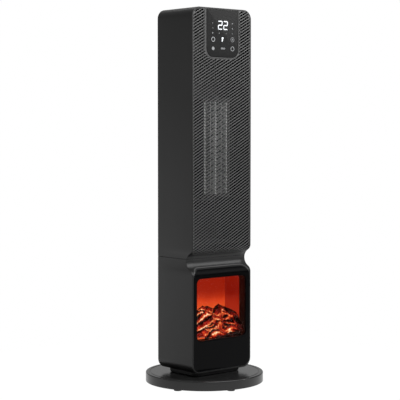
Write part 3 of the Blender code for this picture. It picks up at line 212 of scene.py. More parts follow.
# Each finish: slot, real material, dark and light colour, low and high roughness, grain and bump in metres,
# and what else its shader is set to
FINISHES = (
    # Moulded in a spark-eroded tool: an even satin black with a very fine grain
    ("shell_plastic", "satin black ABS", "#141414", "#1a1a1a", 0.36, 0.46, 0.0009, 1e-5, {}),
    # The fine front mesh, a shade lighter than the shell: partly its own paint, partly a painted highlight
    # for the light that its webs catch
    ("grille_mesh", "painted mesh ABS", "#595959", "#676767", 0.34, 0.44, 0.0012, 1.2e-5, {}),
    # A hard-coated face that stays even and dark, with hardly any mirror image
    ("fascia_gloss", "polished black fascia", "#181818", "#1d1d1d", 0.34, 0.4, 0.004, 2e-6,
     {"spot": 0.2, "IOR": 1.49, "Specular IOR Level": 0.14}),
    # Polished ABS: deep black, sharp but weak reflections, the odd faint ripple
    ("panel_gloss", "polished black ABS panel", "#040405", "#070708", 0.06, 0.11, 0.006, 2e-6,
     {"spot": 0.2, "IOR": 1.49, "Specular IOR Level": 0.07}),
    # Cast acrylic with an anti-glare coat, drawn with a low index so that it mirrors next to nothing
    ("window_clear", "clear acrylic", "#e6e0dc", "#f2eeea", 0.03, 0.05, 0.01, 5e-7,
     {"spot": 0.1, "IOR": 1.06, "Transmission Weight": 1.0}),
    # A matt reveal that drinks the glow; the trace of red in its colour is a painted reflection of the glow
    ("surround_plastic", "matt black surround", "#050304", "#090506", 0.5, 0.65, 0.0008, 1e-5, {}),
    # The base is a touch glossier than the tower, so it mirrors the tower and the wall
    ("base_plastic", "satin black ABS base", "#1f1f1f", "#262626", 0.17, 0.22, 0.0011, 6e-6, {}),
    # Dull rubber, nearly without a highlight
    ("foot_rubber", "nitrile rubber foot", "#111112", "#1a1a1b", 0.7, 0.85, 0.0007, 3e-5, {}),
    # Softer and a little shinier than the feet
    ("bush_rubber", "soft PVC bush", "#141415", "#1d1d1e", 0.55, 0.7, 0.0009, 2e-5, {}),
    # Grey zinc with a broad, cloudy sheen
    ("weight_steel", "zinc plated weight", "#8c9094", "#a9adb1", 0.3, 0.45, 0.003, 1e-5, {"Metallic": 1.0}),
    # Dark zinc that still flashes like metal
    ("plated_steel", "black zinc plated steel", "#3c3e40", "#4a4c4f", 0.3, 0.42, 0.0014, 8e-6,
     {"Metallic": 1.0}),
    # Stacked sheets under lacquer: fine level lines
    ("core_steel", "black lacquered core steel", "#191a1b", "#232425", 0.4, 0.55, 0.0006, 2e-5,
     {"streak": (1, 1, 6), "Metallic": 1.0}),
    # Rolled strip, bright along its upright rolling lines
    ("fin_aluminium", "rolled aluminium", "#979695", "#b0afae", 0.35, 0.48, 0.0011, 6e-6,
     {"streak": (1, 1, 0.2), "Metallic": 0.7}),
    # The anodised layer scatters light, so the tubes are pale and matt where the fins are bright metal
    ("heater_tube", "pale anodised tube", "#dbdbda", "#ececeb", 0.5, 0.6, 0.0011, 6e-6, {}),
    # Glass fibres leave it matt and slightly brown
    ("heat_resin", "glass-filled nylon", "#0d0c0c", "#151413", 0.6, 0.75, 0.0012, 2e-5, {}),
    # Ivory, with a waxy depth
    ("white_nylon", "natural nylon", "#d9d6cc", "#e8e5dc", 0.35, 0.45, 0.001, 8e-6,
     {"Subsurface Weight": 0.15}),
    # A dull inner black that recedes behind the openings
    ("inner_black", "black polypropylene", "#0d0d0e", "#141415", 0.5, 0.65, 0.001, 1e-5, {}),
    # Smoother than the covers round it, so the rocker shows a soft highlight
    ("switch_black", "satin black nylon rocker", "#0d0d0e", "#151516", 0.22, 0.32, 0.0008, 4e-6, {}),
    # Turns of wire under brown enamel: fine lines and a copper flash
    ("coil_copper", "enamelled copper wire", "#3a1d10", "#4f2a18", 0.35, 0.5, 0.0007, 4e-5,
     {"streak": (8, 1, 1), "Metallic": 1.0}),
    # Solder mask over glass weave
    ("circuit_board", "green circuit board", "#0f3a22", "#185232", 0.35, 0.45, 0.0015, 1e-5, {}),
    # Open cells swallow the light: rough and almost black
    ("filter_foam", "open-cell foam", "#17181a", "#2b2c2f", 0.85, 0.95, 0.0012, 4e-4, {}),
)


def finish(name, dark, light, low, high, grain, bump, streak=(1, 1, 1), spot=0.45, **shader):
    """A surface whose colour, roughness and bump wander with two noises in object space.

    The colour runs from dark to light and the roughness from low to high; grain is the size of the fine
    noise and bump its height, both in metres; streak stretches the grain along an axis.
    """
    material = bpy.data.materials.new(name)
    tree = empty_tree(material)
    place = add_node(tree, "TexCoord").outputs["Object"]
    scaled = add_node(tree, "Mapping", {"Vector": place, "Scale": streak})
    fine = add_node(tree, "TexNoise", {"Vector": scaled, "Scale": 1 / grain, "Detail": 3.0})
    broad = add_node(tree, "TexNoise", {"Vector": place, "Scale": 9.0, "Detail": 2.0})
    both = add_node(tree, "Mix", {0: spot, 2: broad, 3: fine}, data_type="FLOAT")
    spread = add_node(tree, "MapRange", {"Value": both, "From Min": 0.3, "From Max": 0.7})
    colour = add_node(tree, "Mix", {0: spread, 6: linear(dark), 7: linear(light)}, data_type="RGBA")
    rough = add_node(tree, "MapRange", {"Value": spread, "To Min": low, "To Max": high})
    relief = add_node(tree, "Bump", {"Height": fine, "Distance": bump, "Strength": 1.0})
    inputs = {"Base Color": colour.outputs[2], "Roughness": rough, "Normal": relief}
    inputs.update(shader)
    surface = add_node(tree, "BsdfPrincipled", inputs)
    add_node(tree, "OutputMaterial", {"Surface": surface})
    return material


def tree_of(material):
    """The node tree, the shader and the object coordinates of a finish."""
    tree = material.node_tree
    shader = next(n for n in tree.nodes if n.type == "BSDF_PRINCIPLED")
    place = next(n for n in tree.nodes if n.type == "TEX_COORD").outputs["Object"]
    return tree, shader, place


def edged(material, mark, code, rough, mirror):
    """Gives a finish another colour, roughness and mirror strength where a point attribute is 1."""
    tree, shader, _ = tree_of(material)
    share = add_node(tree, "Attribute", attribute_name=mark, attribute_type="GEOMETRY").outputs["Fac"]
    # A Mix node has sockets for colours and others for numbers: two inputs and the result
    colour, number = ("RGBA", 6, 7, 2), ("FLOAT", 2, 3, 0)
    changes = (("Base Color", linear(code), colour), ("Roughness", rough, number),
               ("Specular IOR Level", mirror, number))
    for key, value, (kind, first, second, result) in changes:
        socket = shader.inputs[key]
        before = socket.links[0].from_socket if socket.links else socket.default_value
        both = add_node(tree, "Mix", {0: share, first: before, second: value}, data_type=kind)
        tree.links.new(both.outputs[result], socket)


def set_mark(made, name, values):
    """A value for each point of a mesh, which its material reads."""
    mark = made.data.attributes.new(name, "FLOAT", "POINT")
    mark.data.foreach_set("value", np.asarray(values, np.float32).ravel())


def fade_polish(material):
    """The polish fades out over the panel's lip; above it the panel is dull."""
    tree, shader, place = tree_of(material)
    height = add_node(tree, "SeparateXYZ", {"Vector": place}).outputs["Z"]
    rough = shader.inputs["Roughness"]
    lip = add_node(tree, "MapRange", {"Value": height, "From Min": POLISH_END[0], "From Max": POLISH_END[1]})
    dull = add_node(tree, "Mix", {0: lip, 2: rough.links[0].from_socket, 3: 0.5}, data_type="FLOAT")
    tree.links.new(dull.outputs[0], rough)


def set_stops(ramp, first, last, *between):
    """Colours of a ramp: the first and last ones, and those at the (position, colour) stops between them."""
    ramp.color_ramp.elements[0].color = linear(first)
    ramp.color_ramp.elements[1].color = linear(last)
    for position, code in between:
        ramp.color_ramp.elements.new(position).color = linear(code)


def make_ember_material():
    """Smoked resin over amber lamps, their light painted as an emission: charred crests, red flanks, a yellow
    to white glow in the hollows.
    """
    material = finish("smoked ember resin", "#0a0403", "#180a07", 0.5, 0.75, 0.0022, 3e-4,
                      **{"Specular IOR Level": 0.08})
    tree, shader, place = tree_of(material)
    # Each point's mark holds how bright the painted lamp glow is there
    lamp_glow = add_node(tree, "Attribute", attribute_name="ember_lamp_glow", attribute_type="GEOMETRY")
    fine = add_node(tree, "TexNoise", {"Vector": place, "Scale": 230.0, "Detail": 4.0, "Roughness": 0.6})
    broad = add_node(tree, "TexNoise", {"Vector": place, "Scale": 60.0, "Detail": 2.0})
    across = add_node(tree, "SeparateXYZ", {"Vector": place}).outputs["X"]
    # The painted glow dims towards the right end of the bed
    dimmer_to_right = add_node(tree, "MapRange", {"Value": across, "From Max": BED_HALF, "To Max": -0.22})
    total = add_node(tree, "Math", {0: lamp_glow.outputs["Fac"], 1: dimmer_to_right})
    for noise, share in ((fine, 0.7), (broad, 0.9)):
        total = add_node(tree, "Math", {0: noise, 1: share, 2: total}, operation="MULTIPLY_ADD")
    spot = add_node(tree, "MapRange", {"Value": total, "From Min": 0.85, "From Max": 1.85})
    # The ramp gives the painted lamp glow its colour: black on the crests, red on the flanks, yellow to white
    # in the hollows
    ramp = add_node(tree, "ValToRGB", {"Fac": spot})
    set_stops(ramp, "#020000", "#fff6e0", (0.12, "#0c0201"), (0.26, "#420603"), (0.42, "#8c1208"),
              (0.56, "#c42a16"), (0.70, "#ee6428"), (0.82, "#ffc47c"), (0.92, "#fff4dc"))
    power = add_node(tree, "MapRange", {"Value": broad, "From Min": 0.32, "From Max": 0.62, "To Min": 0.8,
                                        "To Max": 1.25})
    tree.links.new(ramp.outputs[0], shader.inputs["Emission Color"])
    tree.links.new(power.outputs[0], shader.inputs["Emission Strength"])
    return material


def make_glow_material():
    """Matt red ABS washed by lamps from below, as an emission on the inner faces alone.

    It is bright orange low on the back, and deep red above and at the sides.
    """
    material = finish("red lit reflector", "#120302", "#170402", 0.45, 0.6, 0.002, 1e-5,
                      **{"Specular IOR Level": 0.1})
    tree, shader, place = tree_of(material)
    parts = add_node(tree, "SeparateXYZ", {"Vector": place})
    flame = add_node(tree, "Mapping", {"Vector": place, "Scale": (38, 38, 14)})
    noise = add_node(tree, "TexNoise", {"Vector": flame, "Scale": 1.0, "Detail": 2.0})
    sway = add_node(tree, "Math", {0: noise, 1: 0.016, 2: parts.outputs["Z"]}, operation="MULTIPLY_ADD")
    height = add_node(tree, "MapRange", {"Value": sway, "From Min": GLOW_RISE[0], "From Max": GLOW_RISE[1]})
    back = add_node(tree, "ValToRGB", {"Fac": height})
    set_stops(back, "#f5602c", "#9e1d07", (0.22, "#e64a22"), (0.30, "#d63e18"), (0.38, "#be3013"),
              (0.53, "#a2200a"))
    side = add_node(tree, "ValToRGB", {"Fac": height})
    set_stops(side, "#b02c16", "#8e1809", (0.18, "#a92612"), (0.47, "#881408"))
    out = add_node(tree, "Math", {0: parts.outputs["X"]}, operation="ABSOLUTE")
    wall = add_node(tree, "MapRange", {"Value": out, "From Min": BOX_TURN[0], "From Max": BOX_TURN[1]})
    both = add_node(tree, "Mix", {0: wall, 6: back, 7: side}, data_type="RGBA")
    tree.links.new(both.outputs[2], shader.inputs["Emission Color"])
    lit = add_node(tree, "Math", {0: parts.outputs["Z"], 1: BOX_BOTTOM}, operation="GREATER_THAN")
    for reach, limit in ((out, BOX_SIDE), (parts.outputs["Y"], BOX_BACK), (parts.outputs["Z"], BOX_TOP)):
        short = add_node(tree, "Math", {0: reach, 1: limit}, operation="LESS_THAN")
        lit = add_node(tree, "Math", {0: lit, 1: short}, operation="MULTIPLY")
    tree.links.new(lit.outputs[0], shader.inputs["Emission Strength"])
    return material


def make_materials():
    """Every finish of the heater, under the name of its record slot."""
    looks.update((slot, finish(*row, **extras)) for slot, *row, extras in FINISHES)
    fade_polish(looks["panel_gloss"])
    edged(looks["panel_gloss"], "satin", "#161616", 0.4, 0.5)
    # The rim mark paints a highlight on the panel's edge
    edged(looks["panel_gloss"], "rim", "#565656", 0.4, 0.3)
    # The rim mark paints a highlight on the fascia's edge
    edged(looks["fascia_gloss"], "rim", "#6e6e6e", 0.35, 0.3)
    looks["ember_resin"] = make_ember_material()
    looks["flame_box_red"] = make_glow_material()


# Surfaces

def around(steps):
    """Even angles once round a circle, in radians."""
    return np.linspace(0, 2 * np.pi, steps, endpoint=False)


def quarter(steps, turns=0):
    """Even angles over a quarter of a circle, after a number of quarter turns."""
    return np.radians(np.linspace(0, 90, steps) + 90 * turns)


def level_loop(loop, axis, value):
    """A flat loop as a loop in space: the missing coordinate is put in at its axis."""
    return np.insert(loop, axis, value, axis=1)


def grid(rows, columns, wrap=False):
    """Quads between neighbouring points of a grid; wrap joins the last column to the first."""
    r, c = np.meshgrid(np.arange(rows - 1), np.arange(columns if wrap else columns - 1), indexing="ij")
    right = (c + 1) % columns
    corners = (r * columns + c, r * columns + right, (r + 1) * columns + right, (r + 1) * columns + c)
    return np.stack(corners, -1).reshape(-1, 4)


def volume(points, groups):
    """Signed volume by the divergence theorem, each face split in a fan from its first corner."""
    total = 0.0
    for g in groups:
        for k in range(1, g.shape[1] - 1):
            cross = np.cross(points[g[:, k]], points[g[:, k + 1]])
            total += np.einsum("ij,ij->", points[g[:, 0]], cross)
    return total


def piece(name, form, slot, sharp, stands_for=(), body="tower", material=None):
    """A closed mesh from points and groups of equal-sided faces, turned outwards, on its body and slot.

    Edges past the sharp angle, in degrees, stay sharp. The finish is the slot's, unless another is given.
    """
    points, groups = form
    if volume(points, groups) < 0:
        groups = [g[:, ::-1] for g in groups]
    mesh = bpy.data.meshes.new(name)
    sizes = np.concatenate([np.full(len(g), g.shape[1]) for g in groups])
    corners = np.concatenate([g.ravel() for g in groups])
    starts = np.concatenate([[0], np.cumsum(sizes)[:-1]])
    mesh.vertices.add(len(points))
    mesh.vertices.foreach_set("co", points.astype(np.float32).ravel())
    mesh.loops.add(len(corners))
    mesh.loops.foreach_set("vertex_index", corners.astype(np.int32))
    mesh.polygons.add(len(sizes))
    mesh.polygons.foreach_set("loop_start", starts.astype(np.int32))
    mesh.update(calc_edges=True)
    mesh.validate()
    mesh.shade_smooth()
    mesh.set_sharp_from_angle(angle=math.radians(sharp))
    mesh.materials.append(material or looks[slot])
    made = bpy.data.objects.new(name, mesh)
    bpy.context.scene.collection.objects.link(made)
    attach(made, body)
    if stands_for:
        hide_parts(*stands_for)
    return made


def lofted(rings, ring_ends=True):
    """Points and faces of a form through closed rings; the end rings are capped, or joined in a circle."""
    rings = np.asarray(rings, float)
    n, m, _ = rings.shape
    if ring_ends:
        caps = [np.arange(m)[None, ::-1], (np.arange(m) + (n - 1) * m)[None, :]]
        return rings.reshape(-1, 3), [grid(n, m, True)] + caps
    closing = grid(2, m, True)
    closing = np.where(closing >= m, closing - m, closing + (n - 1) * m)
    return rings.reshape(-1, 3), [grid(n, m, True), closing]


def thickened(points, groups, back):
    """A sheet with a back: the same faces turned round on the back points, and a wall on each free edge."""
    n = len(points)
    edges = np.concatenate([np.stack([g, np.roll(g, -1, 1)], -1).reshape(-1, 2) for g in groups])
    code = edges.min(1) * n + edges.max(1)
    _, first, count = np.unique(code, return_index=True, return_counts=True)
    rim = edges[first[count == 1]]
    walls = np.stack([rim[:, 1], rim[:, 0], rim[:, 0] + n, rim[:, 1] + n], -1)
    return np.concatenate([points, back]), list(groups) + [g[:, ::-1] + n for g in groups] + [walls]


def slab(front, back):
    """A closed form between two surfaces, each given by its x, y and z over the same grid."""
    front, back = np.stack(front, -1), np.stack(back, -1)
    return thickened(front.reshape(-1, 3), [grid(*front.shape[:2])], back.reshape(-1, 3))


def turned(profile, steps=256):
    """A form turned about Z: every (radius, height) of the closed profile carried round a circle."""
    angle = around(steps)
    r, z = np.asarray(profile, float).T
    rings = np.stack([np.outer(np.cos(angle), r), np.outer(np.sin(angle), r), np.tile(z, (steps, 1))], -1)
    return lofted(rings, ring_ends=False)


def joined(*parts):
    """Several point and face sets as one."""
    points, groups, count = [], {}, 0
    for p, faces in parts:
        points.append(p)
        for g in faces:
            groups.setdefault(g.shape[1], []).append(g + count)
        count += len(p)
    return np.concatenate(points), [np.concatenate(g) for g in groups.values()]


def rounded_loop(low, high, radii, corner_steps=10, side_steps=12):
    """A rounded rectangle round from its lower right corner: upper right, upper left, lower left."""
    (x0, z0), (x1, z1) = low, high
    centres = [(x1 - radii[0], z0 + radii[0]), (x1 - radii[1], z1 - radii[1]),
               (x0 + radii[2], z1 - radii[2]), (x0 + radii[3], z0 + radii[3])]
    runs = []
    for k, ((cx, cz), r) in enumerate(zip(centres, radii)):
        a = quarter(corner_steps + 1, k - 1)
        runs.append(np.stack([cx + r * np.cos(a), cz + r * np.sin(a)], -1))
    points = []
    for k, run in enumerate(runs):
        after = runs[(k + 1) % 4][0]
        share = np.linspace(0, 1, side_steps + 1)[1:-1, None]
        points += [run, run[-1] * (1 - share) + after * share]
    return np.concatenate(points)


def inset_loop(low, high, radii, inset, **steps):
    """A rounded rectangle whose sides and corner arcs are drawn in by the inset."""
    return rounded_loop(np.add(low, inset), np.subtract(high, inset), [r - inset for r in radii], **steps)


# Tower, sleeves and neck

def groove_depth(z, offset=0.0):
    """How far the neck groove lies behind the front plane at height z, moved into the body by the offset.

    Within the inflections it is the hollow arc; beyond them the lip arc; past the edges the plane itself.
    """
    rise = np.abs(np.asarray(z, float) - GROOVE_MIDDLE)
    hollow, lip = HOLLOW + offset, LIP - offset
    inner = GROOVE_DEPTH - HOLLOW + np.sqrt(np.maximum(hollow**2 - rise**2, 0))
    outer = LIP - np.sqrt(np.maximum(lip**2 - np.clip(GROOVE_EDGE - rise, 0, None) ** 2, 0))
    return np.where(rise < hollow * math.sin(GROOVE_TURN), inner, outer)


def front_y(x, z, offset=0.0):
    """The front face with its neck groove: past the mitre line it falls back towards the side face."""
    depth = groove_depth(z)
    past = np.maximum(np.abs(x) - (SIDE - MITRE_SHARE * depth), 0)
    return FRONT + groove_depth(z, offset) + RETURN_SLOPE * np.where(depth > 1e-7, past, 0)


def shell_ring(low_draw, x, z, normal):
    """One closed section of a sleeve wall at (x, z): along the side, round the front edge and back inside."""
    edge, chamfer, nick = 0.0011, 0.0006, 0.0003
    a = quarter(6)
    inward = np.concatenate([[WALL, chamfer, 0.0], edge * (1 - np.cos(a)), [WALL - nick, WALL]])
    lead = float(front_y(abs(x) if normal[1] == 0 else 0.0, z))
    slope = RETURN_SLOPE if lead > FRONT + 1e-6 else 0.0
    y = np.concatenate([[BACK, BACK, BACK - chamfer], lead + edge * (1 - np.sin(a)), [lead, lead + nick]])
    y[3:] -= slope * inward[3:]
    inward = np.maximum(inward, np.where(inward < WALL * 0.7, low_draw, 0))
    return np.stack([x - normal[0] * inward, y, z - normal[1] * inward], -1)


def sleeve(seam_z, far_z):
    """A sleeve of the tower: its wall section carried up one side, over the rounded end and down the other.

    The sections are close together along the neck groove and twelve times as far apart on the straight.
    """
    section_step, seam_draw = 0.0015, 0.0004
    toward = 1 if far_z > seam_z else -1
    turn_z = far_z - toward * CORNER
    levels = np.concatenate([seam_z + toward * np.array([0, SEAM_EDGE]),
                             np.arange(seam_z, turn_z, toward * section_step)[1:]])
    near = np.abs(levels - GROOVE_MIDDLE) < GROOVE_EDGE + 2 * section_step
    keep = near | (np.arange(len(levels)) % 12 == 0)
    levels = levels[keep | (np.arange(len(levels)) < 2)]
    rings = [shell_ring(seam_draw if z == seam_z else 0.0, -SIDE, z, (-1, 0)) for z in levels]
    for a in quarter(17):
        out = (-math.cos(a), toward * math.sin(a))
        rings.append(shell_ring(0, out[0] * CORNER - SIDE + CORNER, turn_z + out[1] * CORNER, out))
    mirrored = [r * np.array([-1, 1, 1]) for r in rings[::-1]]
    return lofted(rings + mirrored)


def pierced(points, groups, radius, steps=48):
    """A round hole through a floor, which is the two largest level faces of a form.

    Each face becomes a fan between its corners and a circle, and a wall joins the circles.
    """
    quads = groups[0]
    corners = points[quads]
    level = np.ptp(corners[:, :, 2], axis=1) < 1e-6
    area = np.ptp(corners[:, :, 0], axis=1) * np.ptp(corners[:, :, 1], axis=1) * level
    chosen = np.argsort(area)[-2:]
    a, k = around(steps), np.arange(steps)
    after, fourth = (k + 1) % steps, steps // 4
    sides = [(1, 1), (-1, 1), (-1, -1), (1, -1)]
    fans, circles = [], []
    for face in chosen:
        ids, spots = quads[face], corners[face]
        turn = np.sign(np.cross(spots[1] - spots[0], spots[2] - spots[1])[2])
        start = len(points)
        circle = np.stack([radius * np.cos(a), radius * np.sin(a), a * 0 + spots[0, 2]], -1)
        points = np.concatenate([points, circle])
        by_side = [ids[[(np.sign(s[0]), np.sign(s[1])) == side for s in spots].index(True)] for side in sides]
        own = np.array(by_side)[k // fourth]
        gaps = np.stack([by_side, np.roll(by_side, -1), start + (np.arange(1, 5) * fourth) % steps], -1)
        fan = np.concatenate([np.stack([own, start + after, start + k], -1), gaps])
        fans.append(fan if turn > 0 else fan[:, ::-1])
        circles.append((start, turn))
    low, high = (c[0] for c in sorted(circles, key=lambda c: c[1]))
    wall = np.stack([low + k, low + after, high + after, high + k], -1)
    kept = np.delete(quads, chosen, axis=0)
    return points, [np.concatenate([kept, wall])] + list(groups[1:]) + [np.concatenate(fans)]


def neck_half(low, corner, edge_z):
    """Half of the neck across the front, from the seam to the edge of a sheet.

    It is a grid over x and height, and its far edge follows the sheet's rounded corners.
    """
    half = SIDE - WALL
    toward = 1 if edge_z > low else -1
    ends = half - corner + corner * np.sin(quarter(12))
    x = np.concatenate([-ends[::-1], np.linspace(-(half - corner), half - corner, 50)[1:-1], ends])
    over = np.clip(np.abs(x) - (half - corner), 0, corner)
    top = edge_z + toward * (corner - np.sqrt(corner**2 - over**2))
    step = toward * SEAM_EDGE
    rows = [np.full_like(x, low), np.full_like(x, low + step)]
    rows += [(low + step) * (1 - s) + (top - step) * s for s in np.linspace(0, 1, 30)[1:-1]]
    rows += [top - step, top]
    z = np.array(rows)
    x = np.tile(x, (len(z), 1))
    y = front_y(x, z)
    y[[0, -1]] += SEAM_EDGE
    return slab((x, y, z), (x, y + NECK_THICK, z))


# The recessed shroud under the tower hides the swivel joint, and its dark sheet stands in for the shade under
# the tower: its half widths, corner, and insets with heights
SHROUD = (0.064, 0.048)
SHROUD_CORNER = 0.016
SHROUD_SECTION = ((0, 0.0332), (0.0005, 0.0258), (0.0011, 0.0252), (0.0024, 0.0252), (0.0028, 0.0332))
SPINDLE_HOLE = 0.017


def make_tower():
    """Both sleeves, the dark shroud under the lower one, which also stands in for the shade there, and both
    halves of the neck.
    """
    high_seam, low_seam = SEAM + GAP / 2, SEAM - GAP / 2
    piece("upper_sleeve", sleeve(high_seam, TOWER_TOP), "shell_plastic", 40, ("upper_shell",))
    lower = pierced(*sleeve(low_seam, TOWER_BOTTOM), SPINDLE_HOLE)
    piece("lower_sleeve", lower, "shell_plastic", 40, ("lower_shell",))
    # The shroud is a dark sheet that stands in for the shade under the tower
    shroud = lofted([level_loop(inset_loop(np.negative(SHROUD), SHROUD, [SHROUD_CORNER] * 4, inset), 2, z)
                     for inset, z in SHROUD_SECTION], ring_ends=False)
    piece("swivel_shroud_and_shade", shroud, "inner_black", 30)
    piece("neck_upper", neck_half(high_seam, MESH_RADII[0] + GAP, MESH_LOW - GAP), "shell_plastic", 40)
    piece("neck_lower", neck_half(low_seam, PANEL_RADII[1] + GAP, PANEL_HIGH + GAP), "shell_plastic", 40)


# Front grille

# A hole's cell: its width, and the height of one row of the staggered lattice above the lattice's origin
CELL_ACROSS = 0.01195
CELL_ROW = 0.00315
CELL_START = 0.2
# Shares of a cell that its hole takes up along the rows towards the upper right, and across them. The webs
# across are the wide ones, so the mesh reads as a fine slanted hatch. The real mesh is about 1.3 times finer,
# too fine for the render.
HOLE_ALONG = 0.93
HOLE_ACROSS = 0.70
# A hole stays shut if less than this share of it is left at the edge
SLIVER = 0.3
MESH_THICK = 0.0007
MESH_RECESS = 0.0003
MESH_HALF = 0.0787
MESH_LOW = 0.2790
MESH_HIGH = 0.7858
MESH_RADII = (0.0125, 0.0125, 0.0172, 0.0172)
MESH_CUTS = (0.45, 0.62)
MESH_BORDER = 0.0006
FASCIA_HALF = 0.0465
FASCIA_LOW = 0.6848
FASCIA_CORNER = 0.020
NOTCH_GAP = 0.0008


def run_down_front():
    """Arc length down the front profile against height: it is height itself above the groove."""
    z = np.linspace(0.300, 0.272, 500)
    y = groove_depth(z, MESH_RECESS)
    run = np.concatenate([[0], np.cumsum(np.hypot(np.diff(z), np.diff(y)))])
    return z[0] - run, z


def within(points, low, high, radii):
    """Points outside a rounded rectangle are drawn onto it; also says which were inside."""
    centre = np.clip(points, low, high)
    inside = np.all(centre == points, axis=1)
    x, s = centre[:, 0].copy(), centre[:, 1].copy()
    for side_x, side_s, r in zip((1, -1, 1, -1), (1, 1, -1, -1), radii):
        mid_x = (low if side_x > 0 else high)[0] + side_x * r
        mid_s = (low if side_s > 0 else high)[1] + side_s * r
        dx, ds = x - mid_x, s - mid_s
        reach = np.hypot(dx, ds)
        beyond = (dx * side_x < 0) & (ds * side_s < 0) & (reach > r)
        inside &= ~beyond
        x = np.where(beyond, mid_x + dx * r / np.maximum(reach, 1e-9), x)
        s = np.where(beyond, mid_s + ds * r / np.maximum(reach, 1e-9), s)
    return np.stack([x, s], -1), inside


def out_of_notch(points, half, low, r):
    """Points inside the fascia's notch are pushed out to its edge; also says which were inside."""
    x, s = points.T
    inner = (np.abs(x) < half) & (s > low)
    cx, cs = half - r, low + r
    dx, ds = np.abs(x) - cx, s - cs
    reach = np.hypot(dx, ds)
    corner = (dx > 0) & (ds < 0)
    inner &= ~(corner & (reach >= r))
    to_side = (half - np.abs(x)) < (s - low)
    scale = r / np.maximum(reach, 1e-9)
    new_x = np.where(corner, np.sign(x) * (cx + dx * scale), np.where(to_side, np.sign(x) * half, x))
    new_s = np.where(corner, cs + ds * scale, np.where(to_side, s, low))
    return np.stack([np.where(inner, new_x, x), np.where(inner, new_s, s)], -1), inner


def mesh_sheet(s_from, s_to, s_bottom):
    """The perforated sheet between two lengths along the profile.

    Each hole sits in a rhombic cell of a staggered lattice. Where a cell meets the outline or the fascia, its
    corners are drawn onto the line and those of its hole onto a line a border further in. Slivers stay shut.
    """
    steps = np.array([(CELL_ACROSS / 2, CELL_ROW), (-CELL_ACROSS / 2, CELL_ROW)])
    signs = np.array([(-1, -1), (1, -1), (1, 1), (-1, 1)]) / 2
    opening = signs * np.array([HOLE_ALONG, HOLE_ACROSS]) @ steps
    rows = np.arange(*(round((s - CELL_START) / CELL_ROW) for s in (s_from, s_to)))
    row, column = np.meshgrid(rows, np.arange(-9, 10), indexing="ij")
    centres = np.stack([(column + 0.5 * (row % 2)) * CELL_ACROSS, CELL_START + row * CELL_ROW], -1)
    centres = centres.reshape(-1, 1, 2)
    outer = (centres + signs @ steps).reshape(-1, 2)
    hole = (centres + opening).reshape(-1, 2)
    low, high = np.array([(-MESH_HALF, s_bottom), (MESH_HALF, MESH_HIGH)])
    rim, inside = within(outer, low, high, MESH_RADII)
    notch = np.array([FASCIA_HALF + NOTCH_GAP, FASCIA_LOW - NOTCH_GAP, FASCIA_CORNER + NOTCH_GAP])
    rim = out_of_notch(rim, *notch)[0].reshape(-1, 4, 2)
    cut = out_of_notch(outer, *notch)[1]
    kept = inside.reshape(-1, 4).any(1) & ~cut.reshape(-1, 4).all(1)
    hole, _ = within(hole, low + MESH_BORDER, high - MESH_BORDER, [r - MESH_BORDER for r in MESH_RADII])
    hole = out_of_notch(hole, *(notch + MESH_BORDER * np.array([1, -1, 1])))[0].reshape(-1, 4, 2)
    across, rising = hole[:, 2] - hole[:, 0], hole[:, 3] - hole[:, 1]
    area = across[:, 0] * rising[:, 1] - across[:, 1] * rising[:, 0]
    full = HOLE_ALONG * HOLE_ACROSS * 2 * CELL_ROW * CELL_ACROSS
    holed = kept & (area > SLIVER * full) & (area < 1.01 * full)
    whole = kept & ~holed
    ring = np.concatenate([rim[holed], hole[holed]], 1).reshape(-1, 2)
    k = np.arange(4)
    quads = np.stack([k, (k + 1) % 4, (k + 1) % 4 + 4, k + 4], -1)
    quads = (np.arange(holed.sum())[:, None, None] * 8 + quads[None]).reshape(-1, 4)
    plain = rim[whole].reshape(-1, 2)
    fan = np.array([(0, 1, 2), (0, 2, 3)])
    fan = (np.arange(whole.sum())[:, None, None] * 4 + fan[None]).reshape(-1, 3) + len(ring)
    points, index = np.unique(np.round(np.concatenate([ring, plain]), 6), axis=0, return_inverse=True)
    index = index.ravel()
    quads, fan = index[quads], index[fan]
    a, b, c = (points[fan[:, i]] for i in range(3))
    area = (b[:, 0] - a[:, 0]) * (c[:, 1] - a[:, 1]) - (b[:, 1] - a[:, 1]) * (c[:, 0] - a[:, 0])
    fan = fan[np.abs(area) > 1e-10]

    run, height = run_down_front()
    x, s = points.T
    small = 1e-5
    z, z2 = (np.where(t > run[0], t, np.interp(t, run[::-1], height[::-1])) for t in (s, s + small))
    y, y2 = (front_y(x, t, MESH_RECESS) for t in (z, z2))
    front_points = np.stack([x, y, z], -1)
    back_points = front_points + MESH_THICK * np.stack([x * 0, (z2 - z) / small, (y - y2) / small], -1)
    return thickened(front_points, [quads, fan], back_points)


def make_grille():
    """The perforated front in three sheets, one above the other."""
    run, height = run_down_front()
    bottom = float(np.interp(MESH_LOW, height[::-1], run[::-1]))
    cuts = (bottom - 0.01, *MESH_CUTS, MESH_HIGH + 0.01)
    for name, low, high in zip(("grille_lower", "grille_middle", "grille_upper"), cuts, cuts[1:]):
        piece(name, mesh_sheet(low, high, bottom), "grille_mesh", 30, ("front_grille",))


# Glossy panel

PANEL_LOW = 0.0351
PANEL_HIGH = 0.2535
PANEL_RADII = (0.0172, 0.0210, 0.0210, 0.0172)
PANEL_THICK = 0.0025
PANEL_EDGE = 0.0009
# The bead follows the panel's edge closely at the sides and below, and crosses it under the neck. Each of its
# rings has an inset from the panel's edge, a drop from the bead's top line, and a depth behind the front face
BEAD_TOP = 0.2494
BEAD_RADII = (0.0172, 0.0215, 0.0215, 0.0172)
BEAD = ((0.0001, 0, 0.00005), (0.0002, 0.0004, 0.0003), (0.0003, 0.0008, 0.00005), (0.0004, 0.0012, 0.00015))
WINDOW_LOW = (-0.068, 0.100)
WINDOW_HIGH = (0.068, 0.229)
WINDOW_CORNER = 0.0105
# Heights between which the painted highlight on the edge, dark grey at the sides, gives way to the paler
# painted highlight along the top, where light from above falls
EDGE_HIGHLIGHT_CHANGE = (0.236, 0.241)


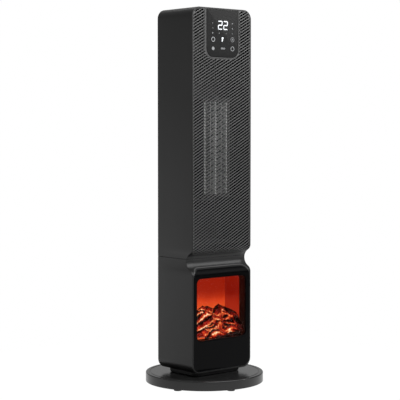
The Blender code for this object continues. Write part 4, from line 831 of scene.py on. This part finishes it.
def panel_sheet():
    """A ring between the panel's outline and its window, its section rounded over at both edges."""
    edge = PANEL_EDGE
    a = quarter(6)
    out_in, drops = edge * (1 - np.cos(a)), edge * (1 - np.sin(a))
    steps = {"corner_steps": 14, "side_steps": 24}
    rings = []

    def outline(inset):
        """The panel's outline, drawn in."""
        return inset_loop((-MESH_HALF, PANEL_LOW), (MESH_HALF, PANEL_HIGH), PANEL_RADII, inset, **steps)

    def window(let_out):
        """The window's outline, let out."""
        return inset_loop(WINDOW_LOW, WINDOW_HIGH, [WINDOW_CORNER] * 4, -let_out, **steps)

    def bead(inset, drawn):
        """A line of the bead: the outline drawn in, and its upper side at the bead's own height."""
        return rounded_loop((-MESH_HALF + inset, PANEL_LOW + inset), (MESH_HALF - inset, BEAD_TOP - drawn),
                            [r - inset for r in BEAD_RADII], **steps)

    def add(loop, behind):
        """A ring that follows the front face at a distance behind it."""
        x, z = loop.T
        rings.append(np.stack([x, front_y(x, z) + behind, z], -1))

    def add_between(start, end, count, behind):
        """Rings that lead evenly from one loop to another."""
        for share in np.linspace(0, 1, count)[1:-1]:
            add(start * (1 - share) + end * share, behind)

    add(outline(0), PANEL_THICK)
    for inset, drop in zip(out_in, drops):
        add(outline(inset), drop)
    bead_loops = [bead(edge + inset, drawn) for inset, drawn, _ in BEAD]
    add_between(outline(edge), bead_loops[0], 10, 0)
    satin_rings = len(rings)
    for loop, (_, _, drop) in zip(bead_loops, BEAD):
        add(loop, drop)
    add_between(bead_loops[-1], window(edge), 18, BEAD[-1][2])
    for inset, drop in zip(out_in[::-1], drops[::-1]):
        add(window(inset), drop)
    add(window(0), PANEL_THICK)
    add_between(window(0), outline(0), 8, PANEL_THICK)
    # A painted highlight: dark grey on the edge at the sides and on one line of the bead; along the top and
    # its corners a paler painted highlight lies just inside the edge, where light from above falls
    rim, satin = np.zeros((2, len(rings), len(rings[0])))
    top = np.clip((np.array(rings)[..., 2] - EDGE_HIGHLIGHT_CHANGE[0]) / (EDGE_HIGHLIGHT_CHANGE[1] - EDGE_HIGHLIGHT_CHANGE[0]), 0, 1)
    edge_rings = len(a)
    rim[:edge_rings - 2] = 0.5
    rim[satin_rings + 2] = 0.5
    rim[:edge_rings] *= 1 - top[:edge_rings]
    rim[edge_rings:edge_rings + 5] = top[edge_rings:edge_rings + 5]
    satin[:satin_rings + 1] = 1
    return lofted(rings, ring_ends=False), rim, satin


def make_panel():
    """The glossy panel with its marks for the painted edge highlight and for the satin band round it."""
    form, rim, satin = panel_sheet()
    panel = piece("gloss_panel", form, "panel_gloss", 40, ("front_panel",))
    set_mark(panel, "rim", rim)
    set_mark(panel, "satin", satin)


# Fascia and its marks

FACE = FRONT - 0.0015
# Insets of the fascia's outline, and how far they lie before the tower's front plane: an edge, then a slope
FASCIA_SECTION = ((0.0, 0.0), (0.0002, 0.0002), (0.0019, 0.0009), (0.0021, 0.00096), (0.0034, 0.00140),
                  (0.0039, 0.00148))
# The outer rings, the fascia's edge, carry a painted highlight
EDGE_HIGHLIGHT_RINGS = 4
# Places of the marks as (x, z), and their sizes
DIGITS = ((-0.0068, 0.7532), (0.0080, 0.7532))
# The small lit mark under the figures: place, length, width and turn of its two bars
LIT_BARS = (((-0.0003, 0.7270), 0.0056, 0.0036, 0), ((-0.0010, 0.7228), 0.0072, 0.0030, 80))
RING = 0.0050
TOUCH_RINGS = (((-0.0260, 0.7235), 0.0015), ((0.0272, 0.7058), 0.0013))
TOUCH_SPOT = (-0.0262, 0.7048)
SPOT, SMALL_SPOT, PALE_DOT, DIM_DOT = 0.0036, 0.0020, 0.0013, 0.0011
PALE_DOTS = ((-0.0273, 0.7367), (0.0269, 0.7579), (0.0269, 0.7474))
DIM_DOTS = ((-0.0095, 0.7367), (0.0099, 0.7367), (0.0269, 0.7367), (-0.0275, 0.757), (-0.027, 0.7466))
DIM_RING = (0.0272, 0.7248)
DIM_BAR = ((0.0008, 0.7056), 0.0125, 0.0036, 0)


def fascia_outline(inset):
    """The fascia's outline: large lower corners, and an upper edge that gives way a quarter as much."""
    half = FASCIA_HALF - inset
    return rounded_loop((-half, FASCIA_LOW + inset), (half, MESH_HIGH - inset * 0.25),
                        (FASCIA_CORNER - inset, 0.0006, 0.0006, FASCIA_CORNER - inset), 16, 10)


def bars(shapes, y_front, y_back):
    """Thin inlays: each shape is a closed outline in (x, z), carried from the back to the front."""
    points, sides, fronts, backs = [], [], [], []
    count = 0
    for shape in shapes:
        m = len(shape)
        points += [level_loop(shape, 1, y_back), level_loop(shape, 1, y_front)]
        sides.append(grid(2, m, True) + count)
        backs.append(np.arange(m)[None, ::-1] + count)
        fronts.append(np.arange(m)[None, :] + count + m)
        count += 2 * m
    sizes = sorted({b.shape[1] for b in backs})
    caps = [np.concatenate([f for f in fronts + backs if f.shape[1] == size]) for size in sizes]
    return np.concatenate(points), [np.concatenate(sides)] + caps


def bar(centre, length, width, angle, steps=5):
    """A bar with pointed-round ends, turned by an angle in degrees."""
    r = width / 2
    a = np.radians(np.linspace(-90, 90, steps))
    right = np.stack([length / 2 - r + r * np.cos(a), r * np.sin(a)], -1)
    shape = np.concatenate([right, -right])
    t = math.radians(angle)
    turn = np.array([[math.cos(t), math.sin(t)], [-math.sin(t), math.cos(t)]])
    return shape @ turn + np.array(centre)


def disc(centre, radius, steps=28):
    """A circle in (x, z)."""
    a = around(steps)
    return np.stack([centre[0] + radius * np.cos(a), centre[1] + radius * np.sin(a)], -1)


def band(centre, radius, width, y_front, y_back, steps=36):
    """A flat ring: a square section carried round a circle."""
    corners = ((radius, y_back), (radius, y_front), (radius - width, y_front), (radius - width, y_back))
    rings = [level_loop(disc(centre, r, steps), 1, y) for r, y in corners]
    return lofted(np.array(rings).transpose(1, 0, 2), ring_ends=False)


def digit_two(x, z, height=0.0184, width=0.0122, stroke=0.0021):
    """The figure 2 as five strokes of a seven-stroke display."""
    up = height / 2 - stroke / 2
    out = width / 2 - stroke / 2
    long = height / 2 - stroke * 0.75
    across = width - stroke * 0.9
    return [bar((x, z + up), across, stroke, 0), bar((x + out, z + up / 2), long, stroke, 90),
            bar((x, z), across, stroke, 0), bar((x - out, z - up / 2), long, stroke, 90),
            bar((x, z - up), across, stroke, 0)]


def make_fascia():
    """The fascia plate, with a painted highlight marked along its edge."""
    rings = [level_loop(fascia_outline(0), 1, FRONT + 0.002)]
    rings += [level_loop(fascia_outline(inset), 1, FRONT - ahead) for inset, ahead in FASCIA_SECTION]
    rings.append(level_loop(fascia_outline(FASCIA_SECTION[-1][0] + 0.0004), 1, FACE))
    plate = piece("fascia_plate", lofted(rings), "fascia_gloss", 20, ("control_fascia",))
    rim = np.zeros((len(rings), len(rings[0])))
    rim[:EDGE_HIGHLIGHT_RINGS] = 1
    set_mark(plate, "rim", rim)


def make_marks():
    """The lit display and the printed marks, let into the fascia's face by 0.2 mm."""
    on, under = FACE - 0.00008, FACE + 0.0002
    # A milky lens over white lamps: it glows evenly, without a bright core
    lit = finish("white lamp mark", "#d9dde0", "#eef1f3", 0.3, 0.4, 0.002, 2e-6,
                 **{"Emission Color": linear("#e6ecf2"), "Emission Strength": 0.7})
    # Screen-printed inks: pale grey for the touch areas, a darker grey for the small status marks
    pale = finish("pale printed mark", "#9b9d9f", "#afb1b3", 0.4, 0.5, 0.002, 2e-6)
    dim = finish("grey printed mark", "#77797b", "#88898b", 0.4, 0.5, 0.002, 2e-6)
    shapes = [stroke for place in DIGITS for stroke in digit_two(*place)]
    shapes += [bar(*row) for row in LIT_BARS]
    touch = [bars([disc(TOUCH_SPOT, SPOT)], on, under)]
    touch += [band(place, RING, width, on, under) for place, width in TOUCH_RINGS]
    touch.append(bars([disc(place, PALE_DOT, 16) for place in PALE_DOTS], on, under))
    status = [band(DIM_RING, RING, TOUCH_RINGS[1][1], on, under),
              bars([disc(DIM_RING, SMALL_SPOT)], on, under), bars([bar(*DIM_BAR)], on, under),
              bars([disc(place, DIM_DOT, 16) for place in DIM_DOTS], on, under)]
    for name, form, ink in (("display_digits", bars(shapes, on, under), lit),
                            ("touch_marks", joined(*touch), pale), ("status_marks", joined(*status), dim)):
        piece(name, form, "fascia_gloss", 40, material=ink)


# Ember bed

BED_HALF = 0.066
BED_NEAR = -0.0516
BED_FAR = 0.0103
BED_LOW = 0.1003
BED_SHELF = 0.1060
BED_HIGH = 0.172
BED_SKIN = 0.003
# The bed stands on its shelf behind this line, and on the floor of the box in front of it
SHELF_EDGE = -0.0346

# Logs of the ember bed in millimetres: the radius, then the crest's points (x, y, height)
LOGS = (
    (10, ((-66, 6, 147), (-34, 1, 150), (-14, -2, 160), (-8, -3, 164), (-3, -3, 161), (4, -4, 163),
          (17, -5, 157), (30, 2, 154))),
    (11, ((8, -14, 149), (22, -14, 158), (32, -8, 165), (46, -2, 160), (60, 3, 156), (67, 6, 154))),
    (10, ((40, -6, 159), (54, -16, 155), (63, -27, 148), (66, -38, 133), (67, -49, 118))),
    (9, ((-67, -20, 146), (-50, -14, 156), (-34, -10, 155), (-16, -10, 148), (0, -8, 150))),
    (7, ((-56, -26, 136), (-34, -21, 147), (-13, -17, 157), (-2, -16, 152))),
    (9, ((-67, -36, 127), (-40, -29, 132), (-18, -25, 138), (4, -21, 148))),
    (9, ((4, -21, 148), (22, -20, 142), (38, -21, 134), (51, -22, 128))),
    (7, ((48, -24, 127), (56, -22, 133), (66, -24, 135))),
    (10, ((-67, -46, 116), (-42, -41, 121), (-22, -37, 125), (-4, -33, 128))),
    (5, ((2, -34, 124), (8, -31, 133), (15, -30, 135), (22, -31, 132), (28, -34, 124))),
    (8, ((24, -35, 121), (42, -33, 125), (56, -35, 122), (66, -40, 116))),
    (6, ((32, -27, 134), (46, -29, 130), (62, -32, 127))),
    (6, ((-42, -48, 104), (-30, -46, 113), (-14, -45, 119), (0, -44, 118), (9, -44, 113), (18, -46, 104))),
    (6, ((20, -47, 106), (34, -47, 110), (50, -47, 108), (64, -48, 104))),
    (6, ((-67, -50, 107), (-52, -49, 109), (-42, -49, 105))),
    (5, ((-58, -6, 143), (-40, -14, 152), (-24, -16, 158))),
    (5, ((28, -14, 157), (40, -17, 150), (52, -19, 146))),
    (5, ((36, -24, 139), (48, -21, 143), (62, -25, 140))),
    (5, ((-30, -40, 124), (-14, -40, 124), (-2, -36, 127))),
)


def ember_heights(x, y):
    """Height over the bed, how far each point lies below the crest of its log, and the number of that log.

    Each log follows its crest line; across it the height falls by a mix of a circle and a straight flank. The
    highest log wins. Between logs the bed climbs evenly to the back.
    """
    slope = np.clip((y - BED_NEAR) / (BED_FAR - BED_NEAR), 0, 1)
    top = BED_LOW + BED_SKIN + 0.036 * slope**0.8
    drop = np.full_like(top, 0.01)
    owner = np.full(top.shape, -1)
    wave = 0.05 * np.sin(x * 310 + 2 * np.sin(y * 260)) + 0.04 * np.sin(x * 720 - y * 530)
    for number, (radius, crest) in enumerate(LOGS):
        points = np.array(crest) / 1000
        for start, end in zip(points, points[1:]):
            along = end[:2] - start[:2]
            share = ((x - start[0]) * along[0] + (y - start[1]) * along[1]) / (along @ along)
            share = np.clip(share, 0, 1)
            dx, dy = x - start[0] - along[0] * share, y - start[1] - along[1] * share
            reach = np.hypot(dx, dy) / (radius / 1000) / (1 + wave + 0.06 * np.sin(number + 130 * x))
            fall = 1 - (0.55 * np.sqrt(np.clip(1 - reach**2, 0, 1)) + 0.45 * np.clip(1 - reach, 0, 1))
            below = fall * radius * 0.00125
            height = start[2] + (end[2] - start[2]) * share - below
            covers = (reach < 1) & (height > top)
            top = np.where(covers, height, top)
            drop = np.where(covers, below, drop)
            owner = np.where(covers, number, owner)
    return top, drop, owner


def ember_lamp_glow(top, drop, owner):
    """How bright the painted lamp glow looks at each point, from its height, its depth below the crest, and
    its log.

    Crests are charred and let less of the glow through, and each front flank glows most where it comes up
    from behind the log before it.
    """
    flank_reach, crest_reach, char_reach, dim_below, dim_over = 0.0020, 0.0019, 0.005, 0.111, 0.008
    highest = np.maximum.accumulate(top, axis=0)
    hidden = top < highest - 0.0002
    row = np.arange(len(top))[:, None]
    joint = np.maximum.accumulate(np.where(owner != np.roll(owner, 1, axis=0), row, 0), axis=0)
    before = np.maximum(np.take_along_axis(top, joint, axis=0),
                        np.maximum.accumulate(np.where(hidden, highest, 0), axis=0))
    # The painted glow is brightest at the foot of each front flank
    foot = np.exp(-((top - before) / flank_reach) ** 2) * ~hidden * (joint > 0)
    char = 0.5 * np.exp(-(drop / crest_reach) ** 2) + 0.14 * np.exp(-drop / char_reach)
    # Charred crests take part of the painted glow away, and points hidden behind a log get painted shade
    lamp_glow = 0.5 + 0.40 * foot - char * (1 - 0.85 * foot) - 0.25 * hidden
    # Low down in the bed the painted glow dims
    return lamp_glow - 0.3 * np.clip((dim_below - top) / dim_over, 0, 1)


def make_ember_bed():
    """The bed as a thin moulded skin: a height over a grid of x and depth, with a back a wall lower."""
    x, y = np.meshgrid(np.linspace(-BED_HALF, BED_HALF, 241), np.linspace(BED_NEAR, BED_FAR, 132))
    rough = 0.0005 * np.sin(x * 2100 + 3 * np.sin(y * 1500)) * np.sin(y * 2300 + 2 * np.sin(x * 900))
    rough += 0.0007 * np.sin(x * 760 + 2 * np.sin(y * 640)) * np.sin(y * 830 + 3 * np.sin(x * 410))
    top, drop, owner = ember_heights(x, y)
    lamp_glow = ember_lamp_glow(top, drop, owner)
    top = np.clip(top + rough, BED_LOW + BED_SKIN, BED_HIGH)
    low = np.maximum(top - 0.004, np.where(y > SHELF_EDGE, BED_SHELF, BED_LOW))
    form = slab((x, y, top), (x, y, np.minimum(low, top - 0.0005)))
    bed = piece("ember_bed_skin", form, "ember_resin", 60, ("ember_bed",))
    # The skin and its back carry the painted lamp glow
    set_mark(bed, "ember_lamp_glow", np.tile(lamp_glow.ravel(), 2))


# Base, back and small parts

BASE_RADIUS = 0.125
BASE_TOP = 0.024
BASE_LOW = 0.004
# The thin groove inside the rim, as radii and depths below the top
BASE_GROOVE = ((0.1177, 0), (0.1174, 0.0003), (0.1166, 0.0010), (0.1158, 0.0010), (0.1150, 0.0003),
               (0.1147, 0))
# From there in: the top, the spindle hole and the hollow below, as radii and depths
BASE_INSIDE = ((0.10, 0), (0.06, 0), (0.0152, 0), (0.015, 0.0002), (0.015, 0.0025), (0.1225, 0.0025))
# The fold of the live electrode over the frame's lip: its middle as (x, z), and where its two faces lie
FOLD_MIDDLE = (-0.0321, 0.4995)
FOLD_FACES = (-0.0388, -0.0380)
PAD_LOW = (-0.0555, 0.3848)
PAD_HIGH = (0.0555, 0.6152)
PAD_MIDDLE = 0.0529
PAD_HALF = 0.001
SCREW_OUT = 0.070
SCREW_HEIGHTS = (0.048, 0.258, 0.284, 0.520, 0.772)
SCREW_RADIUS = 0.0032
# A screw head's section from its underside to the middle of its dome: shares of the radius, and lifts
SCREW_SHARES = (1.0, 1.0, 0.96, 0.85, 0.7, 0.55, 0.42, 0.3, 0.18, 0.06)
SCREW_LIFTS = (-0.0012, 0.0004, 0.0008, 0.0011, 0.00135, 0.0015, 0.0016, 0.00165, 0.0017, 0.0017)
# The rating plate's lower left and upper right corner, and its insets with their distance behind the back
PLATE_LOW = (-0.030, 0.140)
PLATE_HIGH = (0.030, 0.176)
PLATE_CORNER = 0.002
PLATE_SECTION = ((0, -0.0004), (0, 0.0001), (0.0002, 0.0002))


def base_profile():
    """The base cover's section: outer wall, rounded rim, thin groove, top, spindle hole and hollow below."""
    high, low = 0.0022, 0.0008
    a = quarter(8)
    # Rounded edges: the large one at the rim's top and the small one at its foot
    foot = [(BASE_RADIUS - low + low * math.cos(t), BASE_LOW + low - low * math.sin(t)) for t in a[::-1]]
    rim = [(BASE_RADIUS - high + high * math.cos(t), BASE_TOP - high + high * math.sin(t)) for t in a]
    inner = [(radius, BASE_TOP - depth) for radius, depth in BASE_GROOVE + BASE_INSIDE]
    return foot + rim + inner + [(BASE_INSIDE[-1][0], BASE_LOW)]


def make_dust_pad():
    """Open-cell foam: a flat pad with rounded edges, its faces dimpled by crossed waves."""
    (x0, z0), (x1, z1) = PAD_LOW, PAD_HIGH
    v, u = np.meshgrid(np.linspace(-1, 1, 170), np.linspace(-1, 1, 90), indexing="ij")
    x, z = (x0 + x1) / 2 + u * (x1 - x0) / 2, (z0 + z1) / 2 + v * (z1 - z0) / 2
    edge = np.minimum((1 - np.abs(u)) * (x1 - x0) / 2, (1 - np.abs(v)) * (z1 - z0) / 2)
    crown = np.sqrt(np.clip(1 - (1 - np.clip(edge / 0.0012, 0, 1)) ** 2, 0, 1))
    dimple = 0.00012 * np.sin(x * 1900) * np.sin(z * 1700) * crown
    middle, half = PAD_MIDDLE + dimple, PAD_HALF * crown
    form = slab((x, middle + half, z), (x, middle - half, z))
    pad = piece("dust_pad_foam", form, "filter_foam", 60, ("dust_pad",), "intake")


def screw_form(x, y, z):
    """A pan-head screw seen from behind: a domed head with a cross cut as a dent in its dome."""
    a = around(48)
    rings = []
    for share, lift in zip(SCREW_SHARES, SCREW_LIFTS):
        px, pz = SCREW_RADIUS * share * np.cos(a), SCREW_RADIUS * share * np.sin(a)
        cut = (np.minimum(np.abs(px), np.abs(pz)) < 0.00042) & (share < 0.6)
        rings.append(np.stack([x + px, y + lift - np.where(cut, 0.0010, 0), z + pz], -1))
    return lofted(rings)


def make_back():
    """The screws of the rear covers and a blank rating plate of brushed aluminium foil."""
    screws = [screw_form(x, BACK - 0.0006, z) for x in (-SCREW_OUT, SCREW_OUT) for z in SCREW_HEIGHTS]
    piece("rear_screws", joined(*screws), "plated_steel", 30)
    steps = {"corner_steps": 6, "side_steps": 4}
    plate = lofted([level_loop(inset_loop(PLATE_LOW, PLATE_HIGH, [PLATE_CORNER] * 4, inset, **steps), 1,
                               BACK + behind) for inset, behind in PLATE_SECTION])
    # Rolled foil, brushed level and lacquered: long fine lines, duller than the bare metal
    foil = finish("brushed aluminium foil", "#6f7173", "#898b8d", 0.38, 0.5, 0.0008, 4e-6,
                  streak=(0.05, 1, 1), Metallic=0.8)
    piece("rating_plate", plate, "fin_aluminium", 30, material=foil)


def make_all():
    """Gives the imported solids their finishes, and makes every piece of this file."""
    make_materials()
    for name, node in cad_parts.items():
        slot = node.data.materials[0].name.split(".")[0]
        node.data.materials[0] = looks["heater_tube" if name in PALE_BARS else slot]
    make_tower()
    make_grille()
    make_panel()
    make_fascia()
    make_marks()
    fold = bars([bar(FOLD_MIDDLE, 0.1920, 0.0016, 90)], *FOLD_FACES)
    piece("electrode_fold", fold, "fin_aluminium", 40, material=looks["heater_tube"])
    make_ember_bed()
    piece("base_disc", turned(base_profile()), "base_plastic", 25, ("base_cover",), "base")
    make_dust_pad()
    make_back()


make_camera()
make_world()
make_lamps()
make_floor()
make_all()
bpy.context.scene.view_settings.view_transform = "Standard"
